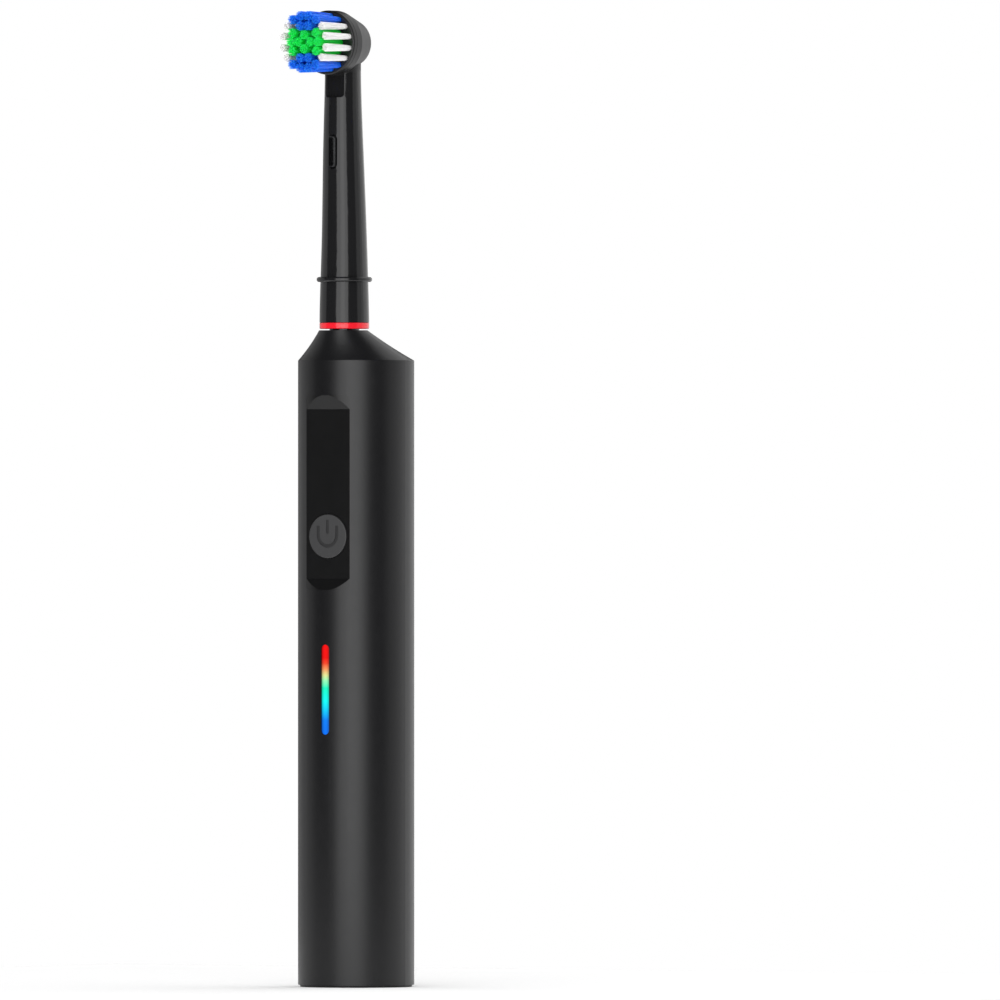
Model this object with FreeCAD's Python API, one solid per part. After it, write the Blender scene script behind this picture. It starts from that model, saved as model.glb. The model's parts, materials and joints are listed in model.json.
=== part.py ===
import FreeCAD, Part

import math
import os

# Electric toothbrush, standing on its base. Millimetres, +Z up.
# The handle's axis is the Z axis, the front (button and bristles) looks along -Y,
# and the origin is the centre of the charging well's mouth, in the plane the brush stands on.

V = FreeCAD.Vector

# ---------------------------------------------------------------- clearances shared by every part
CLOSE_GAP = 0.02           # between pieces pressed or glued together
SNUG_GAP = 0.05            # between pieces that slide together
DROP_GAP = 0.1             # around pieces that are dropped into place
ON_PLANE = 0.01            # an edge closer than this to a plane lies on it

# ---------------------------------------------------------------- handle
HANDLE_R = 14.3            # outside radius of the handle tube
HANDLE_H = 154.0           # height of the shoulder's sharp edge
WALL = 2.0                 # wall of the handle tube
INNER_R = HANDLE_R - WALL
SHOULDER_H = 7.4           # height of the sloped shoulder above that edge
SHOULDER_TOP = HANDLE_H + SHOULDER_H
SHOULDER_MID = (0.51, 0.45, 0.567)  # shoulder's middle section: shares of its height, radius and drift
SHOULDER_EDGE_R = 0.3      # rounding of the sharp edge
SHOULDER_LEAN = 0.5        # the upper rim lies this far in front of the shaft
SHOULDER_TOP_R = 5.95      # radius of the shoulder's small upper rim
NECK_OFFSET = 5.4          # how far the shaft's axis lies in front of the handle's axis
ROOF = 2.0                 # the tube's cavity stops this far below the shoulder's edge
CAVITY_TOP = HANDLE_H - ROOF
LEDGE_IN_R = INNER_R - 1.7  # inside radius of the ledge that stops the gearbox
LEDGE_T = 1.6
LEDGE_GAP = 0.1            # ledge above the gearbox cover

# ---------------------------------------------------------------- base and charging well
BASE_GAP = 0.45            # thickness of the base cap's visible rim
BASE_RIM_R = HANDLE_R - 0.4
BASE_RIM_CHAMFER = 0.35
BASE_FLOOR_T = 1.6
BASE_SKIRT_TOP = 7.0
BASE_SKIRT_T = 2.0
WELL_R = 4.5
WELL_DEPTH = 14.0
WELL_WALL = 1.0
SEAL_CORD_R = 0.47         # cord radius of the base's sealing ring
SEAL_GROOVE_DEPTH = 0.95
SEAL_GROOVE_H = 1.2
SEAL_GROOVE_DROP = 2.8     # groove below the skirt's top
BOBBIN_WALL = 0.6
BOBBIN_FLANGE_T = 0.7
BOBBIN_FLANGE_W = 0.2      # the flanges stand out past the winding by this
COIL_PIN_R = 0.35
COIL_PIN_HOLE_R = 0.6
COIL_PIN_Y = 0.4           # pins behind the board's back face
COIL_PIN_LAP = 3.0

# ---------------------------------------------------------------- front panel, button, light bar, grip
BUTTON_R = 5.4
PANEL_HALF_W = BUTTON_R + 0.9
PANEL_HIGH = HANDLE_H - 8.5
PANEL_LEN = 48.0
PANEL_LOW = PANEL_HIGH - PANEL_LEN
PANEL_END_LOW = 2.9        # length of the sloped lower end
PANEL_END_HIGH = 3.5
PANEL_T = 0.8
PANEL_CORNER_R = 1.0
PANEL_BACKING = 1.2        # shell left behind the panel
BUTTON_Z = PANEL_LOW + 13.3
BUTTON_PROUD = 0.3
BUTTON_T = 0.55
BUTTON_TRAVEL = 0.5
BUTTON_STEM_R = 3.6
BAR_HIGH = PANEL_LOW - 13.3
BAR_LEN = 22.1
BAR_LOW = BAR_HIGH - BAR_LEN
BAR_HALF_W = 1.15
GRIP_LOW = 21.0
GRIP_HIGH = HANDLE_H - 16.2
GRIP_FADE_LOW = 24.0       # length over which the sunk grip rises to the surface below
GRIP_FADE_HIGH = 3.7
GRIP_SUNK = 0.28
GRIP_T = 1.0
GRIP_HALF_ANGLE = 78.0
GRIP_CORNER_R = 10.0
GRIP_FRONT_Y = 1.5
GRIP_EDGE_LOW = 0.01       # the lower edge's step below the surface
GRIP_EDGE_HIGH = 0.03      # the upper edge's step below the surface
BUTTON_EDGE_R = 0.2
BUTTON_SEAL_W = 1.5
BUTTON_SEAL_T = 0.6
SYMBOL_DEPTH = 0.12
SYMBOL_R = 3.1             # half width of the on/off symbol's U
SYMBOL_LINE = 0.85
SYMBOL_U = (-2.8, 2.6)     # the U's heights above the button's centre
SYMBOL_STROKE_HALF_W = 0.42
SYMBOL_STROKE = (0.6, 4.1)

# ---------------------------------------------------------------- inner stack
COIL_Z0 = 5.6
COIL_H = 8.0
COIL_R = INNER_R - 3.9
CHASSIS_Z0 = 15.6
PLATE_T = 1.5
CHASSIS_R = INNER_R - 0.3
SPINE_T = 1.4
RAIL_IN_X = 7.4
RAIL_OUT_X = 9.2
BOARD_SPACE = 3.434         # from the front wall behind the panel to the board's back face
BOARD_T = 1.0
BOARD_HALF_W = 8.5
CELL_R = 7.0
CELL_LEN = 49.0
CELL_Y = 3.4
CELL_TERMINAL_R = 2.75
TAB_T = 0.3
PAD_T = 1.0
SCREW_R = 0.6
SCREW_LEN = 2.6
BOARD_SCREW_X = 6.0
BOSS_HALF = 1.7
BOSS_DEPTH = 3.4
FOOT_T = 1.6
PIN_X = 2.5
BOARD_SCREW_LOW = 2.2      # lower screws above the board's lower edge
BOARD_SCREW_HIGH = 17.0    # upper screws below the gearbox
RAIL_BACK_Y = 2.0
BATTERY_EDGE_R = 0.5
TERMINAL_H = 1.0
TAB_HALF_W = 2.0
TAB_REACH = 5.0
SCREW_HOLE_SPARE = 0.5     # blind screw holes are this much deeper than the screw
SCREW_HEAD_R = 1.1
SCREW_HEAD_T = 0.6
SCREW_SLOT_HALF_L = 0.9
SCREW_SLOT_HALF_W = 0.15
SCREW_SLOT_DEPTH = 0.3
LAMP_COUNT = 6
LAMP_HALF_W = 0.8
LAMP_T = 0.8
GUIDE_HALF_W = 2.0
GUIDE_FRONT_GAP = 0.25
GUIDE_OVERLAP = 1.0        # the light guide is this much longer than the bar at each end
CHIP = (-2.5, 2.5, 45.0, 50.0, 0.9)     # x from, x to, z from, z to, height
COIL_DRIVER = (-1.5, 1.5, 24.0, 27.0, 1.2)
MOTOR_DRIVER = (-6.5, -4.0, 88.0, 91.0, 1.0)
CHARGER_ROW = (3.6, 5.2, 32.0, 32.9, 0.6)
ROW_COUNT = 6
ROW_PITCH = 4.0
SWITCH_HALF_W = 3.0
SWITCH_LAP = 0.5           # the plunger reaches this far into the switch

# ---------------------------------------------------------------- motor and gearing
GEARBOX_Z0 = HANDLE_H - 38.5   # the motor's face and the underside of the gearbox
GEARBOX_T = 2.0
MODULE = 0.4
PINION_TEETH = 10
GEAR_TEETH = 20
GEAR_BACKLASH = 0.10       # taken off each tooth's width
CRANK_DISTANCE = 5.5       # crank gear's axis behind the shaft's axis
CRANK_R = 2.3
MOTOR_LEN = 20.0
MOTOR_HALF_X = 6.0
MOTOR_HALF_Y = 5.0
MOTOR_SHAFT_R = 0.75
MOTOR_BOSS_R = 2.0
MOTOR_SCREW_X = 4.3
MOTOR_SCREW_R = 0.7
MOTOR_BELL_H = 3.5
MOTOR_WALL = 0.6
MOTOR_BELL_FLOOR = 0.8
MOTOR_SEAT_LAP = 0.5       # the chassis reaches this far under the end bell
MOTOR_SEAT_HALF_W = 1.0
MOTOR_SEAT_T = 1.5
MOTOR_TERMINAL_X = 3.0
MOTOR_TERMINAL_HALF_W = 0.7
MOTOR_TERMINAL_Y = (-3.0, -2.6)
MOTOR_TERMINAL_L = 3.0
MAGNET_HALF_GAP = 1.5
MAGNET_AIR_GAP = 0.3
MAGNET_END_LOW = 1.0
MAGNET_END_HIGH = 2.0
ARMATURE_R = 2.9
ARMATURE_END = 0.5         # armature shorter than the magnets at each end
ARMATURE_SLOTS = 3
ARMATURE_SLOT_R = 0.45
MOTOR_BUSH_BELOW = 0.6
MOTOR_BUSH_ABOVE = 1.2
PINION_PROUD = 0.1         # pinion wider than the gear at each side
SHAFT_PROUD = 0.5
AXLE_R = 1.0
PILLAR_X = 8.6
PILLAR_Y = (-3.0, 5.0)
PILLAR_R = 1.5
GEARBOX_SCREW_X = 8.3
GEARBOX_SCREW_Y = 1.0
GEARBOX_FRONT_GAP = 0.9    # plates behind the front wall's pad
COVER_HEAD_T = 0.8
COVER_SCREW_LEN = 4.5
COVER_SLOT_DEPTH = 0.4
BASE_SCREW_LEN = 3.5
BASE_HEAD_T = 0.7
BASE_SLOT_FLOOR = 0.4
MOTOR_HEAD_T = 0.6
MOTOR_HEAD_R = 1.0
AXLE_PROUD = 0.6
BUSH_PROUD = 0.2
GEAR_Z0 = GEARBOX_Z0 + GEARBOX_T + 0.8
GEAR_T = 2.6
GEAR_TOP = GEAR_Z0 + GEAR_T
ROLLER_R = 1.0
ROLLER_PIN_R = 0.65
ROCKER_Z0 = GEAR_TOP + 3.6
ROCKER_T = 2.0
ROCKER_HALF_W = 2.1
ROLLER_LIFT = 1.2          # roller above the gear
ROLLER_SIDE_GAP = 0.03
HUB_CLEAR = 0.4            # rocker's hub below the cover
SHAFT_CHAMFER = 0.3
CLIP_W = 1.0
CLIP_T = 0.6
CLIP_LIFT = 0.3
CLIP_GAP_HALF_W = 0.9
PIN_GAP = 0.2              # opened pivot: the roller stops this far below the rocker
COVER_Z0 = ROCKER_Z0 + ROCKER_T + 1.9
COVER_T = 2.0
COVER_TOP = COVER_Z0 + COVER_T
SHAFT_R = 1.8
SHAFT_FLAT = SHAFT_R - 0.45    # distance of the drive flat from the shaft's axis
BUSH_R = SHAFT_R + 1.2
COLLAR_R = SHAFT_R + 1.85
COLLAR_LOW = SHOULDER_TOP - 3.4
COLLAR_TOP = SHOULDER_TOP + 6.0
SHAFT_FLAT_Z0 = COLLAR_TOP + 1.1
SHAFT_TOP = COLLAR_TOP + 16.6
SEAL_W = 1.0               # shaft seal's width, and where it ends below the collar's top
SEAL_LOW_DROP = 2.4
SEAL_HIGH_DROP = 0.6
RUN_GAP = 0.04             # radial clearance of a shaft in its bearing
FIT_GAP = 0.15             # clearance between parts that are pushed together by hand

# ---------------------------------------------------------------- brush head
RING_GAP = 0.35            # gap between the shoulder and the head
RING_H = 1.55
RING_R = 6.1
NECK_FOOT_R = 6.1
NECK_SECTIONS = (           # (share of the height, share of the foot's radius, forward drift)
    (0.0, 1.0, 0.0),
    (0.19, 0.947, 0.0),
    (0.44, 0.867, 0.20),
    (0.62, 0.811, 0.50),
    (0.83, 0.738, 0.65),
    (0.96, 0.733, 0.65),
)
FLANGE_ABOVE_FOOT = 10.6
FLANGE_R = 6.8
FLANGE_T = 1.2
HEAD_Z = SHOULDER_TOP + 70.6   # centre of the bristle carrier
DISC_R = 7.9
DISC_T = 1.5
DISC_EDGE_R = 0.5
DISC_FRONT = 8.0           # disc face in front of the neck's axis
DISC_GAP = 0.12
DRUM_RIM = 2.18            # straight length of the drum behind the disc, before it tapers
DRUM_BACK_R = 5.4
DRUM_BACK = 12.2           # drum's back behind the disc's face
DRUM_EDGE_R = 1.4
DRUM_BORE_R = 4.6
DRUM_FLOOR = 2.9
PIVOT_STOP = 1.8           # pivot pin ends this far inside the drum's back
HUB_R = 3.2
PIVOT_R = 0.9
BALL_R = 0.7
BALL_OFFSET = 2.2          # ball in front of the rod's axis
BALL_DROP = 2.5            # ball below the carrier's pivot
SOCKET_R = SHAFT_R + 1.2
SOCKET_LOW = COLLAR_TOP + 1.6
SOCKET_TOP = SHAFT_TOP + 3.0
ROD_R = 1.2
TUFT_LEN = 10.9
TUFT_ROOT_R = 0.8
TUFT_TIP_R = 1.05
TUFT_HOLE_DEPTH = 0.9
TUFT_INNER = 0.63          # radii of the inner, middle and core tufts, shares of the ring's
TUFT_MIDDLE = 0.6
TUFT_CORE = 0.265
WHITE_ANGLES = (-36.5, -12.5, 12.5, 36.5, 143.5, 167.5, 192.5, 216.5)
BLUE_ANGLES = (58.0, 79.5, 100.5, 122.0, 238.0, 259.5, 280.5, 302.0)
BLUE_INNER_ANGLES = (73.0, 107.0, 253.0, 287.0)
GREEN_MIDDLE_ANGLES = (0.0, 180.0)
GREEN_INNER_ANGLES = (33.0, 147.0, 213.0, 327.0)
GREEN_CORE_ANGLES = (0.0, 90.0, 180.0, 270.0)
BALL_GAP = 0.06
SOCKET_GAP = 0.05
SOCKET_ROOF = 0.3          # hole of the socket above the shaft's end
ROD_LAP = 2.0              # rod inside the socket
ROD_PROUD = 0.6            # rod above the ball
ROD_SPACE = 0.8
GUIDE_DROP = 18.0          # the rod's guide starts this far below the carrier
BALL_ARM_R = 0.35
CARRIER_SLOT_TOP = 1.7     # the carrier's slot ends this far below the pivot
PIN_FLOOR = 0.4            # pivot pin behind the tufts' holes
RING_EDGE_R = 0.3
SLEEVE_LAP = 0.5
FLANGE_ROUND = 0.45        # rounding of the flange, share of its thickness
WINDOW_CORNER_R = 0.8
SLEEVE_R = COLLAR_R + 0.85
SLEEVE_H = 4.5
SLOT_HALF_W = 1.25
SLOT_LOW = HEAD_Z - 31.0
SLOT_HIGH = HEAD_Z - 22.5
WINDOW_HALF_W = 2.65
WINDOW_LOW = HEAD_Z - 13.4
WINDOW_DEPTH = 1.26

# ---------------------------------------------------------------- worked out from the above
SHAFT_Y = -NECK_OFFSET
PANEL_Y = -math.sqrt(HANDLE_R ** 2 - PANEL_HALF_W ** 2)
PANEL_BACK_Y = PANEL_Y + PANEL_T
BACKING_Y = PANEL_BACK_Y + PANEL_BACKING
BUTTON_FACE_Y = PANEL_Y - BUTTON_PROUD
BUTTON_STEM_BACK = BACKING_Y + 0.3
BOARD_Y = BACKING_Y + BOARD_SPACE
BOARD_FRONT = BOARD_Y - BOARD_T
BOARD_LOW = CHASSIS_Z0 + 3.4
BOARD_TOP = GEARBOX_Z0 - 0.3
SWITCH_FRONT = BOARD_FRONT - 1.4
PLUNGER_R = 1.4
SWITCH_HOLE_Y = SWITCH_FRONT + SWITCH_LAP + BUTTON_TRAVEL + 2 * DROP_GAP
GRIP_X = (HANDLE_R - GRIP_SUNK) * math.sin(math.radians(GRIP_HALF_ANGLE))
CELL_Z0 = CHASSIS_Z0 + PLATE_T + PAD_T + TAB_T
CELL_TOP = CELL_Z0 + CELL_LEN
CHASSIS_MID_Z = CELL_TOP + 1.0 + TAB_T + 0.2
CRANK_Y = SHAFT_Y + CRANK_DISTANCE
GEAR_DISTANCE = MODULE * (PINION_TEETH + GEAR_TEETH) / 2
MOTOR_Y = CRANK_Y + GEAR_DISTANCE
ROLLER_TOP = ROCKER_Z0 - PIN_GAP
RING_Z0 = SHOULDER_TOP + RING_GAP
FOOT_Z = RING_Z0 + RING_H
DISC_Y = SHAFT_Y - DISC_FRONT
DISC_BACK_Y = DISC_Y + DISC_T
DRUM_FRONT_Y = DISC_BACK_Y + DISC_GAP
DRUM_BACK_Y = DISC_Y + DRUM_BACK
HUB_BACK_Y = SHAFT_Y - ROD_R - 0.15
BALL_Z = HEAD_Z - BALL_DROP
TUFT_RING_R = DISC_R - 1.4
WINDOW_FLOOR_Y = SHAFT_Y - NECK_FOOT_R * NECK_SECTIONS[-1][1] - NECK_SECTIONS[-1][2] + WINDOW_DEPTH


# ---------------------------------------------------------------- shape helpers
def rod(radius, z0, z1, x=0.0, y=0.0):
    """Solid cylinder along Z."""
    return Part.makeCylinder(radius, z1 - z0, V(x, y, z0), V(0, 0, 1))


def tube(outer, inner, z0, z1, x=0.0, y=0.0):
    """Hollow cylinder along Z."""
    return rod(outer, z0, z1, x, y).cut(rod(inner, z0 - 1, z1 + 1, x, y))


def rod_y(radius, y0, y1, x, z):
    """Solid cylinder along Y."""
    return Part.makeCylinder(radius, y1 - y0, V(x, y0, z), V(0, 1, 0))


def block(x0, x1, y0, y1, z0, z1):
    """Box between two corners."""
    return Part.makeBox(x1 - x0, y1 - y0, z1 - z0, V(x0, y0, z0))


def prism(points, direction):
    """Closed outline pushed along a direction."""
    return Part.Face(Part.makePolygon(points + points[:1])).extrude(direction)


def revolved(profile, x=0.0, y=0.0):
    """Closed outline of (radius, height) points turned about a line parallel to Z."""
    points = [V(x + r, y, z) for r, z in profile]
    face = Part.Face(Part.makePolygon(points + points[:1]))
    return face.revolve(V(x, y, 0), V(0, 0, 1), 360)


def join(shapes):
    """One solid from touching or overlapping solids."""
    return shapes[0].multiFuse(shapes[1:]).removeSplitter()


def group(shapes):
    """Separate solids kept side by side in one node."""
    return Part.makeCompound(shapes)


def arched_plate(half_w, z0, z1, corner, y0, y1):
    """Plate in the XZ plane with rounded corners, from y0 to y1."""
    plate = block(-half_w, half_w, y0, y1, z0, z1)
    upright = [e for e in plate.Edges if abs(e.tangentAt(e.FirstParameter).y) > 0.99]
    return plate.makeFillet(corner, upright)


def slot_plate(half_w, z0, z1, y0, y1):
    """Plate in the XZ plane with fully round ends, from y0 to y1."""
    middle = block(-half_w, half_w, y0, y1, z0 + half_w, z1 - half_w)
    ends = [rod_y(half_w, y0, y1, 0, z0 + half_w), rod_y(half_w, y0, y1, 0, z1 - half_w)]
    return join([middle] + ends)


def circle_at(radius, y, z):
    """Level circle round a point of the middle plane."""
    return Part.Wire(Part.makeCircle(radius, V(0, y, z), V(0, 0, 1)))


# ---------------------------------------------------------------- handle
def shoulder_solid():
    """Slanted cone that closes in from the tube to the shaft's axis, slightly hollow in profile."""
    up, out, forward = SHOULDER_MID
    rings = [
        circle_at(HANDLE_R, 0, HANDLE_H),
        circle_at(SHOULDER_TOP_R + out * (HANDLE_R - SHOULDER_TOP_R), forward * SHAFT_Y,
                  HANDLE_H + up * SHOULDER_H),
        circle_at(SHOULDER_TOP_R, SHAFT_Y - SHOULDER_LEAN, SHOULDER_TOP),
    ]
    return Part.makeLoft(rings, True, False)


def grip_solid():
    """Wrap-round grip at the back, sunk below the surface and fading out downwards."""
    inner = HANDLE_R - GRIP_SUNK - GRIP_T
    sunk = HANDLE_R - GRIP_SUNK
    profile = [
        (inner, GRIP_LOW - 1),
        (HANDLE_R - GRIP_EDGE_LOW, GRIP_LOW - 1),
        (HANDLE_R - GRIP_EDGE_LOW, GRIP_LOW),
        (sunk, GRIP_LOW + GRIP_FADE_LOW),
        (sunk, GRIP_HIGH - GRIP_FADE_HIGH),
        (HANDLE_R - GRIP_EDGE_HIGH, GRIP_HIGH),
        (HANDLE_R - GRIP_EDGE_HIGH, GRIP_HIGH + 1),
        (inner, GRIP_HIGH + 1),
    ]
    outline = arched_plate(GRIP_X, GRIP_LOW, GRIP_HIGH, GRIP_CORNER_R, GRIP_FRONT_Y, HANDLE_R + 1)
    return revolved(profile).common(outline)


def panel_solid():
    """Flat panel let into the tube, with ends that slope out to the round surface."""
    body = rod(HANDLE_R - CLOSE_GAP, PANEL_LOW, PANEL_HIGH)
    outline = arched_plate(PANEL_HALF_W, PANEL_LOW + DROP_GAP, PANEL_HIGH - DROP_GAP, PANEL_CORNER_R,
                           -HANDLE_R - 1, PANEL_BACK_Y)
    front = -HANDLE_R
    removed = prism([
        V(-PANEL_HALF_W - 1, front, PANEL_LOW),
        V(-PANEL_HALF_W - 1, PANEL_Y, PANEL_LOW + PANEL_END_LOW),
        V(-PANEL_HALF_W - 1, PANEL_Y, PANEL_HIGH - PANEL_END_HIGH),
        V(-PANEL_HALF_W - 1, front, PANEL_HIGH),
        V(-PANEL_HALF_W - 1, front - 2, PANEL_HIGH),
        V(-PANEL_HALF_W - 1, front - 2, PANEL_LOW),
    ], V(2 * PANEL_HALF_W + 2, 0, 0))
    return body.common(outline).cut(removed)


def bar_solid():
    """Lens of the light bar, flush with the round surface."""
    outline = slot_plate(BAR_HALF_W, BAR_LOW, BAR_HIGH, -HANDLE_R - 1, -INNER_R + 0.5)
    return tube(HANDLE_R, INNER_R + DROP_GAP, BAR_LOW - 1, BAR_HIGH + 1).common(outline)


def handle_parts():
    """Outer shell of the handle with what is let into it."""
    panel = panel_solid()
    panel = panel.cut(rod_y(BUTTON_R + DROP_GAP, -HANDLE_R - 1, 0, 0, BUTTON_Z))
    bar = bar_solid()
    grip = grip_solid()

    ledge_z = COVER_TOP + LEDGE_GAP
    cavity = rod(INNER_R, -1, CAVITY_TOP)
    pad = block(-INNER_R, INNER_R, -INNER_R - 1, BACKING_Y, PANEL_LOW - 4, CAVITY_TOP + 1)
    cavity = cavity.cut(pad)
    cavity = cavity.cut(tube(INNER_R + 1, LEDGE_IN_R, ledge_z, ledge_z + LEDGE_T))
    shell = join([rod(HANDLE_R, BASE_GAP + SNUG_GAP, HANDLE_H), shoulder_solid()])
    level = [e for e in shell.Edges if e.BoundBox.ZLength < ON_PLANE]
    rim = [e for e in level if abs(e.BoundBox.ZMax - HANDLE_H) < ON_PLANE and e.BoundBox.XLength > HANDLE_R]
    shell = shell.makeFillet(SHOULDER_EDGE_R, rim)
    shell = shell.cut(cavity)
    shell = shell.cut(rod(BUSH_R, CAVITY_TOP - 1, COLLAR_LOW, 0, SHAFT_Y))
    shell = shell.cut(rod(COLLAR_R, COLLAR_LOW, SHOULDER_TOP + 1, 0, SHAFT_Y))
    shell = shell.cut(arched_plate(PANEL_HALF_W, PANEL_LOW + DROP_GAP, PANEL_HIGH - DROP_GAP,
                                   PANEL_CORNER_R, -HANDLE_R - 1, PANEL_BACK_Y))
    shell = shell.cut(rod_y(BUTTON_STEM_R + 2 * DROP_GAP, -HANDLE_R, 0, 0, BUTTON_Z))
    shell = shell.cut(slot_plate(BAR_HALF_W, BAR_LOW, BAR_HIGH, -HANDLE_R - 1, 0))
    shell = shell.cut(grip)
    return {"handle_shell": shell, "front_panel": panel, "light_bar": bar, "rear_grip": grip}


def button_parts():
    """Power button with its generic on/off symbol, and the plunger behind it."""
    cap = rod_y(BUTTON_R, BUTTON_FACE_Y, BUTTON_FACE_Y + BUTTON_T, 0, BUTTON_Z)
    front = [e for e in cap.Edges if abs(e.BoundBox.YMax - BUTTON_FACE_Y) < ON_PLANE]
    cap = cap.makeFillet(BUTTON_EDGE_R, front)
    stem = rod_y(BUTTON_STEM_R, BUTTON_FACE_Y + BUTTON_T, BUTTON_STEM_BACK, 0, BUTTON_Z)
    symbol_y = BUTTON_FACE_Y + SYMBOL_DEPTH
    u_low = BUTTON_Z + SYMBOL_U[0]
    u_high = BUTTON_Z + SYMBOL_U[1]
    ring = slot_plate(SYMBOL_R, u_low, u_high + 2 * SYMBOL_R, BUTTON_FACE_Y - 1, symbol_y)
    ring = ring.cut(slot_plate(SYMBOL_R - SYMBOL_LINE, u_low + SYMBOL_LINE, u_high + 2 * SYMBOL_R,
                               BUTTON_FACE_Y - 2, 0))
    ring = ring.cut(block(-SYMBOL_R - 1, SYMBOL_R + 1, BUTTON_FACE_Y - 2, 0, u_high, u_high + 3 * SYMBOL_R))
    bar = slot_plate(SYMBOL_STROKE_HALF_W, BUTTON_Z + SYMBOL_STROKE[0], BUTTON_Z + SYMBOL_STROKE[1],
                     BUTTON_FACE_Y - 1, symbol_y)
    cap = join([cap, stem]).cut(ring).cut(bar)
    plunger = rod_y(PLUNGER_R, BUTTON_STEM_BACK, SWITCH_FRONT + SWITCH_LAP, 0, BUTTON_Z)
    seal = rod_y(BUTTON_STEM_R + BUTTON_SEAL_W, BACKING_Y, BACKING_Y + BUTTON_SEAL_T, 0, BUTTON_Z)
    seal = seal.cut(rod_y(BUTTON_STEM_R + FIT_GAP, BACKING_Y - 1, BACKING_Y + 1, 0, BUTTON_Z))
    return {"button_cap": cap, "switch_plunger": plunger, "button_seal": seal}


def base_parts():
    """Base cap with its charging well, sealing ring and charging coil."""
    top_in = INNER_R - SNUG_GAP
    skirt_in = top_in - BASE_SKIRT_T
    groove_z = BASE_SKIRT_TOP - SEAL_GROOVE_DROP
    groove_in = top_in - SEAL_GROOVE_DEPTH
    well_out = WELL_R + WELL_WALL
    profile = [
        (WELL_R, 0.0),
        (BASE_RIM_R - BASE_RIM_CHAMFER, 0.0),
        (BASE_RIM_R, BASE_RIM_CHAMFER),
        (BASE_RIM_R, BASE_GAP),
        (top_in, BASE_GAP),
        (top_in, groove_z),
        (groove_in, groove_z),
        (groove_in, groove_z + SEAL_GROOVE_H),
        (top_in, groove_z + SEAL_GROOVE_H),
        (top_in, BASE_SKIRT_TOP),
        (skirt_in, BASE_SKIRT_TOP),
        (skirt_in, BASE_FLOOR_T),
        (well_out, BASE_FLOOR_T),
        (well_out, WELL_DEPTH + WELL_WALL),
        (0.0, WELL_DEPTH + WELL_WALL),
        (0.0, WELL_DEPTH),
        (WELL_R, WELL_DEPTH),
    ]
    seal_centre = V(0, 0, groove_z + SEAL_GROOVE_H / 2)
    seal = Part.makeTorus(groove_in + SEAL_CORD_R + ON_PLANE, SEAL_CORD_R, seal_centre)
    bobbin_in = well_out + DROP_GAP
    bobbin_core = bobbin_in + BOBBIN_WALL
    coil_top = COIL_Z0 + COIL_H
    bobbin = join([
        tube(bobbin_core, bobbin_in, COIL_Z0, coil_top),
        tube(COIL_R + BOBBIN_FLANGE_W, bobbin_in, COIL_Z0, COIL_Z0 + BOBBIN_FLANGE_T),
        tube(COIL_R + BOBBIN_FLANGE_W, bobbin_in, coil_top - BOBBIN_FLANGE_T, coil_top),
    ])
    coil = tube(COIL_R, bobbin_core + CLOSE_GAP, COIL_Z0 + BOBBIN_FLANGE_T + CLOSE_GAP,
                coil_top - BOBBIN_FLANGE_T - CLOSE_GAP)
    pins = [rod(COIL_PIN_R, coil_top, BOARD_LOW + COIL_PIN_LAP, x, BOARD_Y + COIL_PIN_Y)
            for x in (-PIN_X, PIN_X)]
    return {
        "base_cap": revolved(profile),
        "base_seal": seal,
        "coil_bobbin": bobbin,
        "charge_coil": coil,
        "coil_pins": group(pins),
    }


# ---------------------------------------------------------------- inner stack
def screw_positions():
    """Places (x, z) of the circuit board's screws."""
    heights = (BOARD_LOW + BOARD_SCREW_LOW, GEARBOX_Z0 - BOARD_SCREW_HIGH)
    return [(x, z) for x in (-BOARD_SCREW_X, BOARD_SCREW_X) for z in heights]


def mirrored_block(x0, x1, y0, y1, z0, z1):
    """A box on the +X side and its twin on the -X side."""
    return [block(x0, x1, y0, y1, z0, z1), block(-x1, -x0, y0, y1, z0, z1)]


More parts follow.
